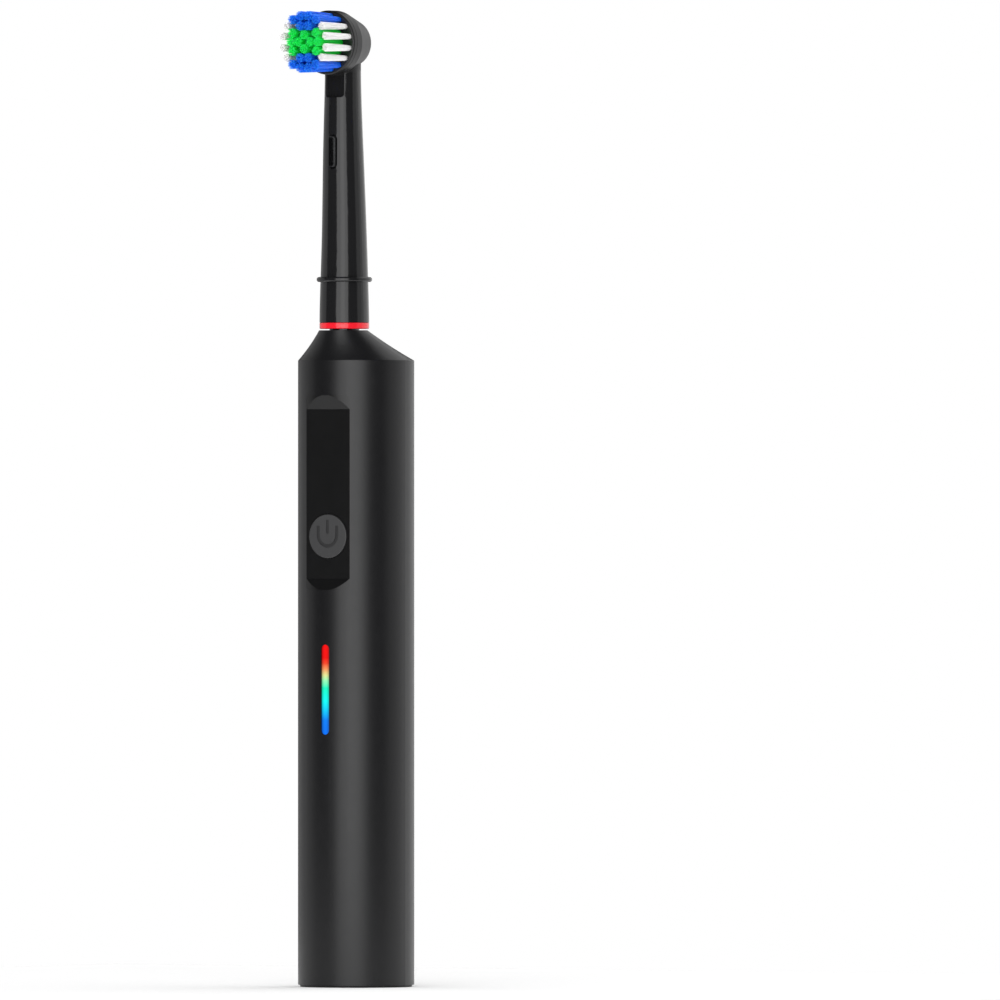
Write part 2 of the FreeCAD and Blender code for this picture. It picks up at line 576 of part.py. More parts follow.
def chassis_solid():
    """Frame with a round back, two rails for the board and plates for battery and motor."""
    behind_board = block(-CHASSIS_R, CHASSIS_R, BOARD_Y, CHASSIS_R, 0, GEARBOX_Z0)
    spine = tube(CHASSIS_R, CHASSIS_R - SPINE_T, CHASSIS_Z0, GEARBOX_Z0)
    pieces = [spine.common(block(-CHASSIS_R, CHASSIS_R, RAIL_BACK_Y, CHASSIS_R, 0, GEARBOX_Z0))]
    pieces += mirrored_block(RAIL_IN_X, RAIL_OUT_X, BOARD_Y, RAIL_BACK_Y, CHASSIS_Z0, GEARBOX_Z0)
    foot = tube(CHASSIS_R, CHASSIS_R - FOOT_T, BASE_SKIRT_TOP, CHASSIS_Z0 + PLATE_T)
    pieces += [foot.common(b) for b in mirrored_block(0, CHASSIS_R, -1.5, 1.5, 0, GEARBOX_Z0)]
    for z in (CHASSIS_Z0, CHASSIS_MID_Z, GEARBOX_Z0 - PLATE_T):
        pieces.append(rod(CHASSIS_R, z, z + PLATE_T).common(behind_board))
    for z in sorted({z for x, z in screw_positions()}):
        pieces += mirrored_block(BOARD_SCREW_X - BOSS_HALF, RAIL_IN_X + 0.5, BOARD_Y, BOARD_Y + BOSS_DEPTH,
                                 z - BOSS_HALF, z + BOSS_HALF)
    motor_low = GEARBOX_Z0 - MOTOR_LEN
    seat = block(-MOTOR_SEAT_HALF_W, MOTOR_SEAT_HALF_W, MOTOR_Y + MOTOR_HALF_Y - MOTOR_SEAT_LAP, CHASSIS_R,
                 motor_low - MOTOR_SEAT_T, motor_low)
    pieces.append(seat.common(rod(CHASSIS_R, CHASSIS_Z0, GEARBOX_Z0)))
    frame = join(pieces)
    window = block(-MOTOR_HALF_X - DROP_GAP, MOTOR_HALF_X + DROP_GAP, MOTOR_Y - MOTOR_HALF_Y - DROP_GAP,
                   MOTOR_Y + MOTOR_HALF_Y + DROP_GAP, motor_low, GEARBOX_Z0 + 1)
    frame = frame.cut(window)
    for x in (-PIN_X, PIN_X):
        frame = frame.cut(rod(COIL_PIN_HOLE_R, COIL_Z0, BOARD_LOW + COIL_PIN_LAP + 1, x, BOARD_Y + COIL_PIN_Y))
    for x, z in screw_positions():
        frame = frame.cut(rod_y(SCREW_R, BOARD_Y - 1, BOARD_Y + SCREW_LEN, x, z))
    base_screw_low = GEARBOX_Z0 - BASE_SCREW_LEN - SCREW_HOLE_SPARE
    for x in (-GEARBOX_SCREW_X, GEARBOX_SCREW_X):
        frame = frame.cut(rod(SCREW_R, base_screw_low, GEARBOX_Z0 + 1, x, GEARBOX_SCREW_Y))
    return frame


def battery_parts():
    """Round cell standing on a foam pad, with a welded tab at each end."""
    case = rod(CELL_R, CELL_Z0, CELL_TOP, 0, CELL_Y)
    ends = [e for e in case.Edges if e.BoundBox.ZLength < 0.01]
    case = case.makeFillet(BATTERY_EDGE_R, ends)
    terminal = rod(CELL_TERMINAL_R, CELL_TOP, CELL_TOP + TERMINAL_H, 0, CELL_Y)
    front = BOARD_Y + CLOSE_GAP

    def tab(z, reach):
        strip = block(-TAB_HALF_W, TAB_HALF_W, front, CELL_Y + TAB_HALF_W, z, z + TAB_T)
        leg = block(-TAB_HALF_W, TAB_HALF_W, front, front + TAB_T, min(z, z + reach),
                    max(z + TAB_T, z + reach))
        return join([strip, leg])

    return {
        "battery_cell": case,
        "battery_terminal": terminal,
        "battery_tab_bottom": tab(CELL_Z0 - TAB_T, TAB_REACH),
        "battery_tab_top": tab(CELL_TOP + TERMINAL_H, -TAB_REACH),
        "battery_pad": rod(CELL_R - BATTERY_EDGE_R, CHASSIS_Z0 + PLATE_T, CELL_Z0 - TAB_T, 0, CELL_Y),
    }


def on_board(size):
    """A component on the board's front face, from its (x from, x to, z from, z to, height)."""
    x0, x1, z0, z1, height = size
    return block(x0, x1, BOARD_FRONT - height, BOARD_FRONT, z0, z1)


def board_parts():
    """Circuit board with its chips, lamps, switch and screws, and the light guide in front of it."""
    board = block(-BOARD_HALF_W, BOARD_HALF_W, BOARD_FRONT, BOARD_Y, BOARD_LOW, BOARD_TOP)
    for x, z in screw_positions():
        board = board.cut(rod_y(SCREW_R + SNUG_GAP, BOARD_FRONT - 1, BOARD_Y + 1, x, z))
    screws = []
    for x, z in screw_positions():
        shank = rod_y(SCREW_R, BOARD_FRONT, BOARD_Y + SCREW_LEN - 2 * DROP_GAP, x, z)
        head = rod_y(SCREW_HEAD_R, BOARD_FRONT - SCREW_HEAD_T, BOARD_FRONT, x, z)
        slot = block(x - SCREW_SLOT_HALF_L, x + SCREW_SLOT_HALF_L, BOARD_FRONT - 1,
                     BOARD_FRONT - SCREW_SLOT_DEPTH, z - SCREW_SLOT_HALF_W, z + SCREW_SLOT_HALF_W)
        screws.append(join([shank, head]).cut(slot))

    pitch = (BAR_HIGH - BAR_LOW - 2 * BAR_HALF_W) / (LAMP_COUNT - 1)
    lamps = []
    for i in range(LAMP_COUNT):
        z = BAR_LOW + BAR_HALF_W + i * pitch
        lamps.append(block(-LAMP_HALF_W, LAMP_HALF_W, BOARD_FRONT - LAMP_T, BOARD_FRONT,
                           z - LAMP_HALF_W, z + LAMP_HALF_W))
    guide = block(-GUIDE_HALF_W, GUIDE_HALF_W, -INNER_R + GUIDE_FRONT_GAP, BOARD_FRONT - LAMP_T - DROP_GAP,
                  BAR_LOW - GUIDE_OVERLAP, BAR_HIGH + GUIDE_OVERLAP)

    small = [on_board(COIL_DRIVER), on_board(MOTOR_DRIVER)]
    x0, x1, z0, z1, height = CHARGER_ROW
    for i in range(ROW_COUNT):
        rise = i * ROW_PITCH
        small.append(on_board((x0, x1, z0 + rise, z1 + rise, height)))
        small.append(on_board((-x1, -x0, z0 + rise, z1 + rise, height)))

    switch = block(-SWITCH_HALF_W, SWITCH_HALF_W, SWITCH_FRONT, BOARD_FRONT, BUTTON_Z - SWITCH_HALF_W,
                   BUTTON_Z + SWITCH_HALF_W)
    switch = switch.cut(rod_y(PLUNGER_R + DROP_GAP, SWITCH_FRONT - 1, SWITCH_HOLE_Y, 0, BUTTON_Z))
    return {
        "circuit_board": board,
        "board_screws": group(screws),
        "indicator_leds": group(lamps),
        "light_guide": guide,
        "controller_chip": on_board(CHIP),
        "board_components": group(small),
        "tactile_switch": switch,
    }


# ---------------------------------------------------------------- motor and gearing
def involute(base_r, t):
    """Point of the involute of a circle at roll angle t."""
    return base_r * (math.cos(t) + t * math.sin(t)), base_r * (math.sin(t) - t * math.cos(t))


def gear_blank(teeth, z0, z1, x, y, turn):
    """Spur gear with involute flanks; turn is the angle of one tooth's middle, in degrees."""
    pitch_r = MODULE * teeth / 2
    base_r = pitch_r * math.cos(math.radians(20))
    tip_r = pitch_r + MODULE * 0.9
    root_r = pitch_r - MODULE * 1.25
    t_pitch = math.sqrt((pitch_r / base_r) ** 2 - 1)
    px, py = involute(base_r, t_pitch)
    half = (math.pi / 2 - GEAR_BACKLASH / MODULE) / teeth + math.atan2(py, px)
    t_tip = math.sqrt((tip_r / base_r) ** 2 - 1)
    flank = []
    for i in range(5):
        fx, fy = involute(base_r, t_tip * i / 4)
        flank.append((math.hypot(fx, fy), half - math.atan2(fy, fx)))
    root = (min(root_r, base_r - 0.01), half)
    side = [root] + flank
    points = []
    for k in range(teeth):
        middle = math.radians(turn) + 2 * math.pi * k / teeth
        for r, a in side:
            points.append(V(x + r * math.cos(middle - a), y + r * math.sin(middle - a), z0))
        for r, a in reversed(side):
            points.append(V(x + r * math.cos(middle + a), y + r * math.sin(middle + a), z0))
    return prism(points, V(0, 0, z1 - z0))


def motor_parts():
    """Small flat-sided motor that stands behind the board, shaft up."""
    low = GEARBOX_Z0 - MOTOR_LEN
    bell_z = low + MOTOR_BELL_H
    front, back = MOTOR_Y - MOTOR_HALF_Y, MOTOR_Y + MOTOR_HALF_Y
    flats = block(-MOTOR_HALF_X, MOTOR_HALF_X, front, back, bell_z, GEARBOX_Z0)
    outline = rod(MOTOR_HALF_X, bell_z, GEARBOX_Z0, 0, MOTOR_Y)
    wall = MOTOR_WALL
    hollow = block(-MOTOR_HALF_X, MOTOR_HALF_X, front + wall, back - wall, bell_z - 1, GEARBOX_Z0 - wall)
    hollow = hollow.common(rod(MOTOR_HALF_X - wall, bell_z - 1, GEARBOX_Z0 - wall, 0, MOTOR_Y))
    can = outline.common(flats).cut(hollow)
    can = can.cut(rod(MOTOR_BOSS_R, GEARBOX_Z0 - 1, GEARBOX_Z0 + 1, 0, MOTOR_Y))
    bell = rod(MOTOR_HALF_X, low, bell_z, 0, MOTOR_Y)
    bell = bell.common(block(-MOTOR_HALF_X, MOTOR_HALF_X, front, back, low, bell_z))
    bell = bell.cut(rod(MOTOR_SHAFT_R + RUN_GAP, low + MOTOR_BELL_FLOOR, bell_z + 1, 0, MOTOR_Y))
    terminals = [block(x - MOTOR_TERMINAL_HALF_W, x + MOTOR_TERMINAL_HALF_W, MOTOR_Y + MOTOR_TERMINAL_Y[0],
                       MOTOR_Y + MOTOR_TERMINAL_Y[1], low - MOTOR_TERMINAL_L, low)
                 for x in (-MOTOR_TERMINAL_X, MOTOR_TERMINAL_X)]
    magnet_z0 = bell_z + MAGNET_END_LOW
    magnet_z1 = GEARBOX_Z0 - MAGNET_END_HIGH
    magnet_ring = tube(MOTOR_HALF_Y - wall - CLOSE_GAP, ARMATURE_R + MAGNET_AIR_GAP, magnet_z0, magnet_z1,
                       0, MOTOR_Y)
    magnets = []
    for x0, x1 in ((-MOTOR_HALF_X, -MAGNET_HALF_GAP), (MAGNET_HALF_GAP, MOTOR_HALF_X)):
        magnets.append(magnet_ring.common(block(x0, x1, front, back, magnet_z0, magnet_z1)))
    armature = rod(ARMATURE_R, magnet_z0 + ARMATURE_END, magnet_z1 - ARMATURE_END, 0, MOTOR_Y)
    slot_out = ARMATURE_R + DROP_GAP
    for k in range(ARMATURE_SLOTS):
        a = math.radians(90 + 360 / ARMATURE_SLOTS * k)
        armature = armature.cut(rod(ARMATURE_SLOT_R, magnet_z0, magnet_z1, slot_out * math.cos(a),
                                    MOTOR_Y + slot_out * math.sin(a)))
    armature = armature.cut(rod(MOTOR_SHAFT_R, low, GEARBOX_Z0, 0, MOTOR_Y))
    shaft = rod(MOTOR_SHAFT_R, low + MOTOR_BELL_FLOOR + 2 * DROP_GAP, GEAR_TOP + SHAFT_PROUD, 0, MOTOR_Y)
    bush = tube(MOTOR_BOSS_R, MOTOR_SHAFT_R + RUN_GAP, GEARBOX_Z0 - MOTOR_BUSH_BELOW,
                GEARBOX_Z0 + MOTOR_BUSH_ABOVE, 0, MOTOR_Y)
    pinion = gear_blank(PINION_TEETH, GEAR_Z0 - PINION_PROUD, GEAR_TOP + PINION_PROUD, 0, MOTOR_Y,
                        -90.0 + 180.0 / PINION_TEETH)
    pinion = pinion.cut(rod(MOTOR_SHAFT_R, GEAR_Z0 - 1, GEAR_TOP + 1, 0, MOTOR_Y))
    return {
        "motor_can": can,
        "motor_end_bell": bell,
        "motor_terminals": group(terminals),
        "motor_magnets": group(magnets),
        "motor_armature": armature,
        "motor_shaft": shaft,
        "motor_bush": bush,
        "motor_pinion": pinion,
    }


def gearbox_parts():
    """Plates, pillars and screws that carry the crank gear and the lower end of the shaft."""
    front_cut = block(-CHASSIS_R, CHASSIS_R, -CHASSIS_R - 1, BACKING_Y + GEARBOX_FRONT_GAP,
                      GEARBOX_Z0 - 1, COVER_TOP + 1)
    base_top = GEARBOX_Z0 + GEARBOX_T
    base = rod(CHASSIS_R, GEARBOX_Z0, base_top)
    pillars = [(x, y) for x in (-PILLAR_X, PILLAR_X) for y in PILLAR_Y]
    posts = [rod(PILLAR_R, base_top, COVER_Z0, x, y) for x, y in pillars]
    base = join([base] + posts).cut(front_cut)
    base = base.cut(rod(MOTOR_BOSS_R + CLOSE_GAP, GEARBOX_Z0 - 1, base_top + 1, 0, MOTOR_Y))
    base = base.cut(rod(AXLE_R, GEARBOX_Z0 - 1, base_top + 1, 0, CRANK_Y))
    cover = rod(CHASSIS_R, COVER_Z0, COVER_TOP).cut(front_cut)
    cover = cover.cut(rod(BUSH_R, COVER_Z0 - 1, COVER_TOP + 1, 0, SHAFT_Y))
    screws = []
    for x, y in pillars:
        base = base.cut(rod(SCREW_R, COVER_Z0 - COVER_SCREW_LEN - SCREW_HOLE_SPARE, COVER_Z0 + 1, x, y))
        cover = cover.cut(rod(SCREW_R + SNUG_GAP, COVER_Z0 - 1, COVER_TOP + 1, x, y))
        cover = cover.cut(rod(SCREW_HEAD_R + DROP_GAP, COVER_TOP - COVER_HEAD_T, COVER_TOP + 1, x, y))
        shank = rod(SCREW_R, COVER_Z0 - COVER_SCREW_LEN, COVER_TOP - COVER_HEAD_T, x, y)
        head = rod(SCREW_HEAD_R, COVER_TOP - COVER_HEAD_T, COVER_TOP - SNUG_GAP, x, y)
        slot = block(x - SCREW_SLOT_HALF_L, x + SCREW_SLOT_HALF_L, y - SCREW_SLOT_HALF_W,
                     y + SCREW_SLOT_HALF_W, COVER_TOP - COVER_SLOT_DEPTH, COVER_TOP + 1)
        screws.append(join([shank, head]).cut(slot))
    for x in (-GEARBOX_SCREW_X, GEARBOX_SCREW_X):
        base = base.cut(rod(SCREW_R + SNUG_GAP, GEARBOX_Z0 - 1, base_top + 1, x, GEARBOX_SCREW_Y))
        shank = rod(SCREW_R, GEARBOX_Z0 - BASE_SCREW_LEN, base_top, x, GEARBOX_SCREW_Y)
        head = rod(SCREW_HEAD_R, base_top, base_top + BASE_HEAD_T, x, GEARBOX_SCREW_Y)
        slot = block(x - SCREW_SLOT_HALF_L, x + SCREW_SLOT_HALF_L, GEARBOX_SCREW_Y - SCREW_SLOT_HALF_W,
                     GEARBOX_SCREW_Y + SCREW_SLOT_HALF_W, base_top + BASE_SLOT_FLOOR, base_top + 1)
        screws.append(join([shank, head]).cut(slot))
    motor_screws = []
    for x in (-MOTOR_SCREW_X, MOTOR_SCREW_X):
        base = base.cut(rod(MOTOR_SCREW_R + SNUG_GAP, GEARBOX_Z0 - 1, base_top + 1, x, MOTOR_Y))
        base = base.cut(rod(MOTOR_HEAD_R + SNUG_GAP, base_top - MOTOR_HEAD_T, base_top + 1, x, MOTOR_Y))
        shank = rod(MOTOR_SCREW_R, GEARBOX_Z0, base_top - MOTOR_HEAD_T, x, MOTOR_Y)
        head = rod(MOTOR_HEAD_R, base_top - MOTOR_HEAD_T, base_top - SNUG_GAP, x, MOTOR_Y)
        motor_screws.append(join([shank, head]))
    return {
        "gearbox_base": base,
        "gearbox_cover": cover,
        "gearbox_screws": group(screws),
        "motor_screws": group(motor_screws),
        "gear_axle": rod(AXLE_R, GEARBOX_Z0 + DROP_GAP, GEAR_TOP + AXLE_PROUD, 0, CRANK_Y),
        "lower_bush": tube(BUSH_R, SHAFT_R + RUN_GAP, COVER_Z0 - BUSH_PROUD, COVER_TOP + BUSH_PROUD,
                           0, SHAFT_Y),
    }


def crank_parts():
    """Gear with an eccentric pin and roller; the pin stands on the gear's front-to-back line at rest."""
    gear = gear_blank(GEAR_TEETH, GEAR_Z0, GEAR_TOP, 0, CRANK_Y, 90.0)
    gear = gear.cut(rod(AXLE_R + RUN_GAP, GEAR_Z0 - 1, GEAR_TOP + 1, 0, CRANK_Y))
    pin_y = CRANK_Y + CRANK_R
    gear = gear.cut(rod(ROLLER_PIN_R, GEAR_Z0 - 1, GEAR_TOP + 1, 0, pin_y))
    pin = rod(ROLLER_PIN_R, GEAR_Z0, ROLLER_TOP, 0, pin_y)
    roller = tube(ROLLER_R, ROLLER_PIN_R + CLOSE_GAP, GEAR_TOP + ROLLER_LIFT, ROLLER_TOP, 0, pin_y)
    return {"crank_gear": gear, "crank_pin": pin, "crank_roller": roller}


def shaft_parts():
    """Output shaft with its rocker arm, clip, upper bush, seal and nose collar."""
    shaft = rod(SHAFT_R, ROCKER_Z0, SHAFT_TOP, 0, SHAFT_Y)
    top = [e for e in shaft.Edges if abs(e.BoundBox.ZMin - SHAFT_TOP) < ON_PLANE]
    shaft = shaft.makeChamfer(SHAFT_CHAMFER, top)
    flat = block(-SHAFT_R - 1, SHAFT_R + 1, SHAFT_Y + SHAFT_FLAT, SHAFT_Y + SHAFT_R + 1,
                 SHAFT_FLAT_Z0, SHAFT_TOP + 1)
    shaft = shaft.cut(flat)
    reach = CRANK_DISTANCE + CRANK_R + ROLLER_R
    plate_top = ROCKER_Z0 + ROCKER_T
    arm = join([
        rod(HUB_R, ROCKER_Z0, COVER_Z0 - HUB_CLEAR, 0, SHAFT_Y),
        block(-ROCKER_HALF_W, ROCKER_HALF_W, SHAFT_Y, SHAFT_Y + reach, ROCKER_Z0, plate_top),
        rod(ROCKER_HALF_W, ROCKER_Z0, plate_top, 0, SHAFT_Y + reach),
    ])
    near = SHAFT_Y + CRANK_DISTANCE - CRANK_R - SNUG_GAP
    far = SHAFT_Y + CRANK_DISTANCE + CRANK_R + SNUG_GAP
    half = ROLLER_R + ROLLER_SIDE_GAP
    slot = join([
        rod(half, ROCKER_Z0 - 1, plate_top, 0, near),
        rod(half, ROCKER_Z0 - 1, plate_top, 0, far),
        block(-half, half, near, far, ROCKER_Z0 - 1, plate_top),
    ])
    arm = arm.cut(slot).cut(rod(SHAFT_R, ROCKER_Z0 - 1, COVER_Z0, 0, SHAFT_Y))
    clip_z = COVER_TOP + CLIP_LIFT
    clip = tube(SHAFT_R + CLIP_W, SHAFT_R, clip_z, clip_z + CLIP_T, 0, SHAFT_Y)
    clip = clip.cut(block(-CLIP_GAP_HALF_W, CLIP_GAP_HALF_W, SHAFT_Y - SHAFT_R - 2, SHAFT_Y,
                          clip_z - 1, clip_z + 2))
    seal_low = COLLAR_TOP - SEAL_LOW_DROP
    seal_high = COLLAR_TOP - SEAL_HIGH_DROP
    seal_r = SHAFT_R + SEAL_W
    collar = tube(COLLAR_R, SHAFT_R + RUN_GAP, COLLAR_LOW, COLLAR_TOP, 0, SHAFT_Y)
    collar = collar.cut(rod(seal_r, seal_low, seal_high, 0, SHAFT_Y))
    return {
        "output_shaft": shaft,
        "rocker_arm": arm,
        "shaft_clip": clip,
        "upper_bush": tube(BUSH_R, SHAFT_R + RUN_GAP, CAVITY_TOP, COLLAR_LOW, 0, SHAFT_Y),
        "nose_collar": collar,
        "shaft_seal": tube(seal_r, SHAFT_R + RUN_GAP, seal_low, seal_high, 0, SHAFT_Y),
    }


# ---------------------------------------------------------------- brush head
def neck_rings():
    """Level sections of the neck, from foot to drum."""
    rise = HEAD_Z - FOOT_Z
    return [circle_at(NECK_FOOT_R * share, SHAFT_Y - drift, FOOT_Z + rise * up)
            for up, share, drift in NECK_SECTIONS]


def neck_solid():
    """Neck of the brush head: tapered tube, thin flange, front slot, window and round drum."""
    body = Part.makeLoft(neck_rings(), True, False)
    flange_z = FOOT_Z + FLANGE_ABOVE_FOOT
    flange = rod(FLANGE_R, flange_z - FLANGE_T / 2, flange_z + FLANGE_T / 2, 0, SHAFT_Y)
    rims = [e for e in flange.Edges if e.BoundBox.ZLength < ON_PLANE]
    flange = flange.makeFillet(FLANGE_ROUND * FLANGE_T, rims)
    rim_y = DRUM_FRONT_Y + DRUM_RIM
    taper = Part.makeCone(DISC_R, DRUM_BACK_R, DRUM_BACK_Y - rim_y, V(0, rim_y, HEAD_Z), V(0, 1, 0))
    back = [e for e in taper.Edges if e.BoundBox.YMin > DRUM_BACK_Y - ON_PLANE]
    drum = join([rod_y(DISC_R, DRUM_FRONT_Y, rim_y, 0, HEAD_Z), taper.makeFillet(DRUM_EDGE_R, back)])
    neck = join([body, flange, drum])
    neck = neck.cut(rod_y(DISC_R + DISC_GAP, DISC_Y - DISC_R, DRUM_FRONT_Y, 0, HEAD_Z))
    neck = neck.cut(rod_y(DRUM_BORE_R, DISC_Y, DRUM_BACK_Y - DRUM_FLOOR, 0, HEAD_Z))
    neck = neck.cut(rod(SLEEVE_R, FOOT_Z - 1, FOOT_Z + SLEEVE_H, 0, SHAFT_Y))
    neck = neck.cut(rod(SOCKET_R + DROP_GAP, FOOT_Z - 1, SOCKET_TOP + DROP_GAP, 0, SHAFT_Y))
    neck = neck.cut(rod(ROD_R + ROD_SPACE, FOOT_Z, HEAD_Z - GUIDE_DROP, 0, SHAFT_Y))
    neck = neck.cut(rod(ROD_R + RUN_GAP, FOOT_Z, HEAD_Z, 0, SHAFT_Y))
    neck = neck.cut(slot_plate(SLOT_HALF_W, SLOT_LOW, SLOT_HIGH, DISC_Y, SHAFT_Y))
    window = arched_plate(WINDOW_HALF_W, WINDOW_LOW, HEAD_Z, WINDOW_CORNER_R, DISC_Y - 1, WINDOW_FLOOR_Y)
    neck = neck.cut(window)
    neck = neck.cut(rod_y(PIVOT_R, HUB_BACK_Y, DRUM_BACK_Y - PIVOT_STOP, 0, HEAD_Z))
    return neck


def ring_solid():
    """Red ring at the head's foot, with a sleeve that goes up inside the neck."""
    band = rod(RING_R, RING_Z0, FOOT_Z, 0, SHAFT_Y)
    band = band.makeFillet(RING_EDGE_R, [e for e in band.Edges if e.BoundBox.ZLength < ON_PLANE])
    sleeve = rod(SLEEVE_R - CLOSE_GAP, FOOT_Z - SLEEVE_LAP, FOOT_Z + SLEEVE_H - DROP_GAP, 0, SHAFT_Y)
    ring = join([band, sleeve])
    return ring.cut(rod(COLLAR_R + FIT_GAP, RING_Z0 - 1, FOOT_Z + SLEEVE_H + 1, 0, SHAFT_Y))


def rod_parts():
    """Socket that grips the shaft, and the rod that carries its swing up to the ball."""
    socket = rod(SOCKET_R, SOCKET_LOW, SOCKET_TOP, 0, SHAFT_Y)
    hole = rod(SHAFT_R + SOCKET_GAP, SOCKET_LOW - 1, SHAFT_TOP + SOCKET_ROOF, 0, SHAFT_Y)
    flat = block(-SHAFT_R - 1, SHAFT_R + 1, SHAFT_Y + SHAFT_FLAT + SOCKET_GAP, SHAFT_Y + SHAFT_R + 1,
                 SOCKET_LOW - 1, SHAFT_TOP + 1)
    socket = socket.cut(hole.cut(flat))
    socket = socket.cut(rod(ROD_R, SOCKET_TOP - ROD_LAP, SOCKET_TOP + 1, 0, SHAFT_Y))
    ball_y = SHAFT_Y - BALL_OFFSET
    ball = Part.makeSphere(BALL_R, V(0, ball_y, BALL_Z))
    arm = rod_y(BALL_ARM_R, ball_y, SHAFT_Y, 0, BALL_Z)
    body = rod(ROD_R, SOCKET_TOP - ROD_LAP, BALL_Z + ROD_PROUD, 0, SHAFT_Y)
    return {"drive_socket": socket, "drive_rod": join([body, arm, ball])}


def tuft_layout():
    """Places (angle, radius) of the tufts by colour; angle 0 is +X, 90 is up."""
    outer = TUFT_RING_R
    inner = TUFT_INNER * outer
    white = [(a, outer) for a in WHITE_ANGLES]
    blue = [(a, outer) for a in BLUE_ANGLES] + [(a, inner) for a in BLUE_INNER_ANGLES]
    green = [(a, TUFT_MIDDLE * outer) for a in GREEN_MIDDLE_ANGLES]
    green += [(a, inner) for a in GREEN_INNER_ANGLES]
    green += [(a, TUFT_CORE * outer) for a in GREEN_CORE_ANGLES]
    return {"tufts_white": white, "tufts_blue": blue, "tufts_green": green}


def tuft_places(spots):
    """Places (x, z) on the disc's face of a list of (angle, radius)."""
    return [(r * math.cos(math.radians(a)), HEAD_Z + r * math.sin(math.radians(a))) for a, r in spots]


def carrier_parts():
    """Round carrier with its slotted hub, the pivot pin and the three sets of tufts."""
    disc = rod_y(DISC_R, DISC_Y, DISC_BACK_Y, 0, HEAD_Z)
    disc = disc.makeFillet(DISC_EDGE_R, [e for e in disc.Edges if abs(e.BoundBox.YMax - DISC_Y) < ON_PLANE])
    hub = rod_y(HUB_R, DISC_BACK_Y - DISC_T / 2, HUB_BACK_Y, 0, HEAD_Z)
    carrier = join([disc, hub])
    hole_floor = DISC_Y + TUFT_HOLE_DEPTH
    carrier = carrier.cut(rod_y(PIVOT_R + RUN_GAP, hole_floor + PIN_FLOOR / 2, HUB_BACK_Y + 1, 0, HEAD_Z))
    half = BALL_R + BALL_GAP
    slot_top = HEAD_Z - CARRIER_SLOT_TOP
    ball_y = SHAFT_Y - BALL_OFFSET
    carrier = carrier.cut(block(-half, half, ball_y - BALL_R - DROP_GAP, HUB_BACK_Y + 1,
                                HEAD_Z - HUB_R - 1, slot_top))
    nodes = {}
    for name, spots in tuft_layout().items():
        tufts = []
        for x, z in tuft_places(spots):
            carrier = carrier.cut(rod_y(TUFT_ROOT_R, DISC_Y - 1, hole_floor, x, z))
            root = rod_y(TUFT_ROOT_R, DISC_Y, hole_floor, x, z)
            flare = Part.makeCone(TUFT_ROOT_R, TUFT_TIP_R, TUFT_LEN, V(x, DISC_Y, z), V(0, -1, 0))
            tufts.append(join([root, flare]))
        nodes[name] = group(tufts)
    nodes["bristle_carrier"] = carrier
    nodes["pivot_pin"] = rod_y(PIVOT_R, hole_floor + PIN_FLOOR, DRUM_BACK_Y - PIVOT_STOP, 0, HEAD_Z)
    return nodes


def build():
    """Every node of the toothbrush, by name."""
    nodes = {}
    nodes.update(handle_parts())
    nodes.update(button_parts())
    nodes.update(base_parts())
    nodes["chassis"] = chassis_solid()
    nodes.update(battery_parts())
    nodes.update(board_parts())
    nodes.update(motor_parts())
    nodes.update(gearbox_parts())
    nodes.update(crank_parts())
    nodes.update(shaft_parts())
    nodes["head_neck"] = neck_solid()
    nodes["colour_ring"] = ring_solid()
    nodes.update(rod_parts())
    nodes.update(carrier_parts())
    return nodes


os.makedirs("parts", exist_ok=True)
for node, shape in build().items():
    shape.exportStep(os.path.join("parts", node + ".step"))
    print(node, shape.isValid(), len(shape.Solids), round(shape.Volume, 2))
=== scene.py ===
"""Electric toothbrush: finishes, bristle filaments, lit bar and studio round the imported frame.

Everything is in metres, in the frame's own axes: +Z up along the handle, -Y the front.
"""

from __future__ import annotations

import json
import logging
import math
from dataclasses import dataclass, field
from enum import Enum
from typing import Any, Iterable, Sequence

import bmesh
import bpy
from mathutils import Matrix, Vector


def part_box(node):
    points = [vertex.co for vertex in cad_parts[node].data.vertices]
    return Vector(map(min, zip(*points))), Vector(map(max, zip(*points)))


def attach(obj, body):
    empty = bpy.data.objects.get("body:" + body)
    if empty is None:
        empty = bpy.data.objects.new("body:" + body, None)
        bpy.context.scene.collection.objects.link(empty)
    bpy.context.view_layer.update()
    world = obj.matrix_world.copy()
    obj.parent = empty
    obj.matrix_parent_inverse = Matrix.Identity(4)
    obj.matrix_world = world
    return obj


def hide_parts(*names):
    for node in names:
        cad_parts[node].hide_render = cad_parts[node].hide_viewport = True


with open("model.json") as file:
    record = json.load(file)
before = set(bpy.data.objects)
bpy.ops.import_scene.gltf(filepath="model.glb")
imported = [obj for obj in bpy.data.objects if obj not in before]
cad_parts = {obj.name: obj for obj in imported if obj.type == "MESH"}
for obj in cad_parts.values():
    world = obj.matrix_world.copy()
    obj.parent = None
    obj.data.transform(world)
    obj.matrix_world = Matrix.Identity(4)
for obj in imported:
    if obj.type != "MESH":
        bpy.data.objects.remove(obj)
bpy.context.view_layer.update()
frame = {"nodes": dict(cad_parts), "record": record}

MM = 0.001
LOG = logging.getLogger("toothbrush")

Colour = tuple[float, float, float]


def srgb(red: int, green: int, blue: int) -> Colour:
    """Linear colour of an 8-bit display colour."""

    def linear(value: int) -> float:
        """Linear share of one channel."""
        share = value / 255
        return share / 12.92 if share <= 0.04045 else ((share + 0.055) / 1.055) ** 2.4

    return linear(red), linear(green), linear(blue)


class Grain(Enum):
    """Kinds of fine surface relief."""

    SPARK = "spark-eroded mould grain"
    POLISHED = "polished mould with faint flow waves"
    STIPPLE = "small round pips"


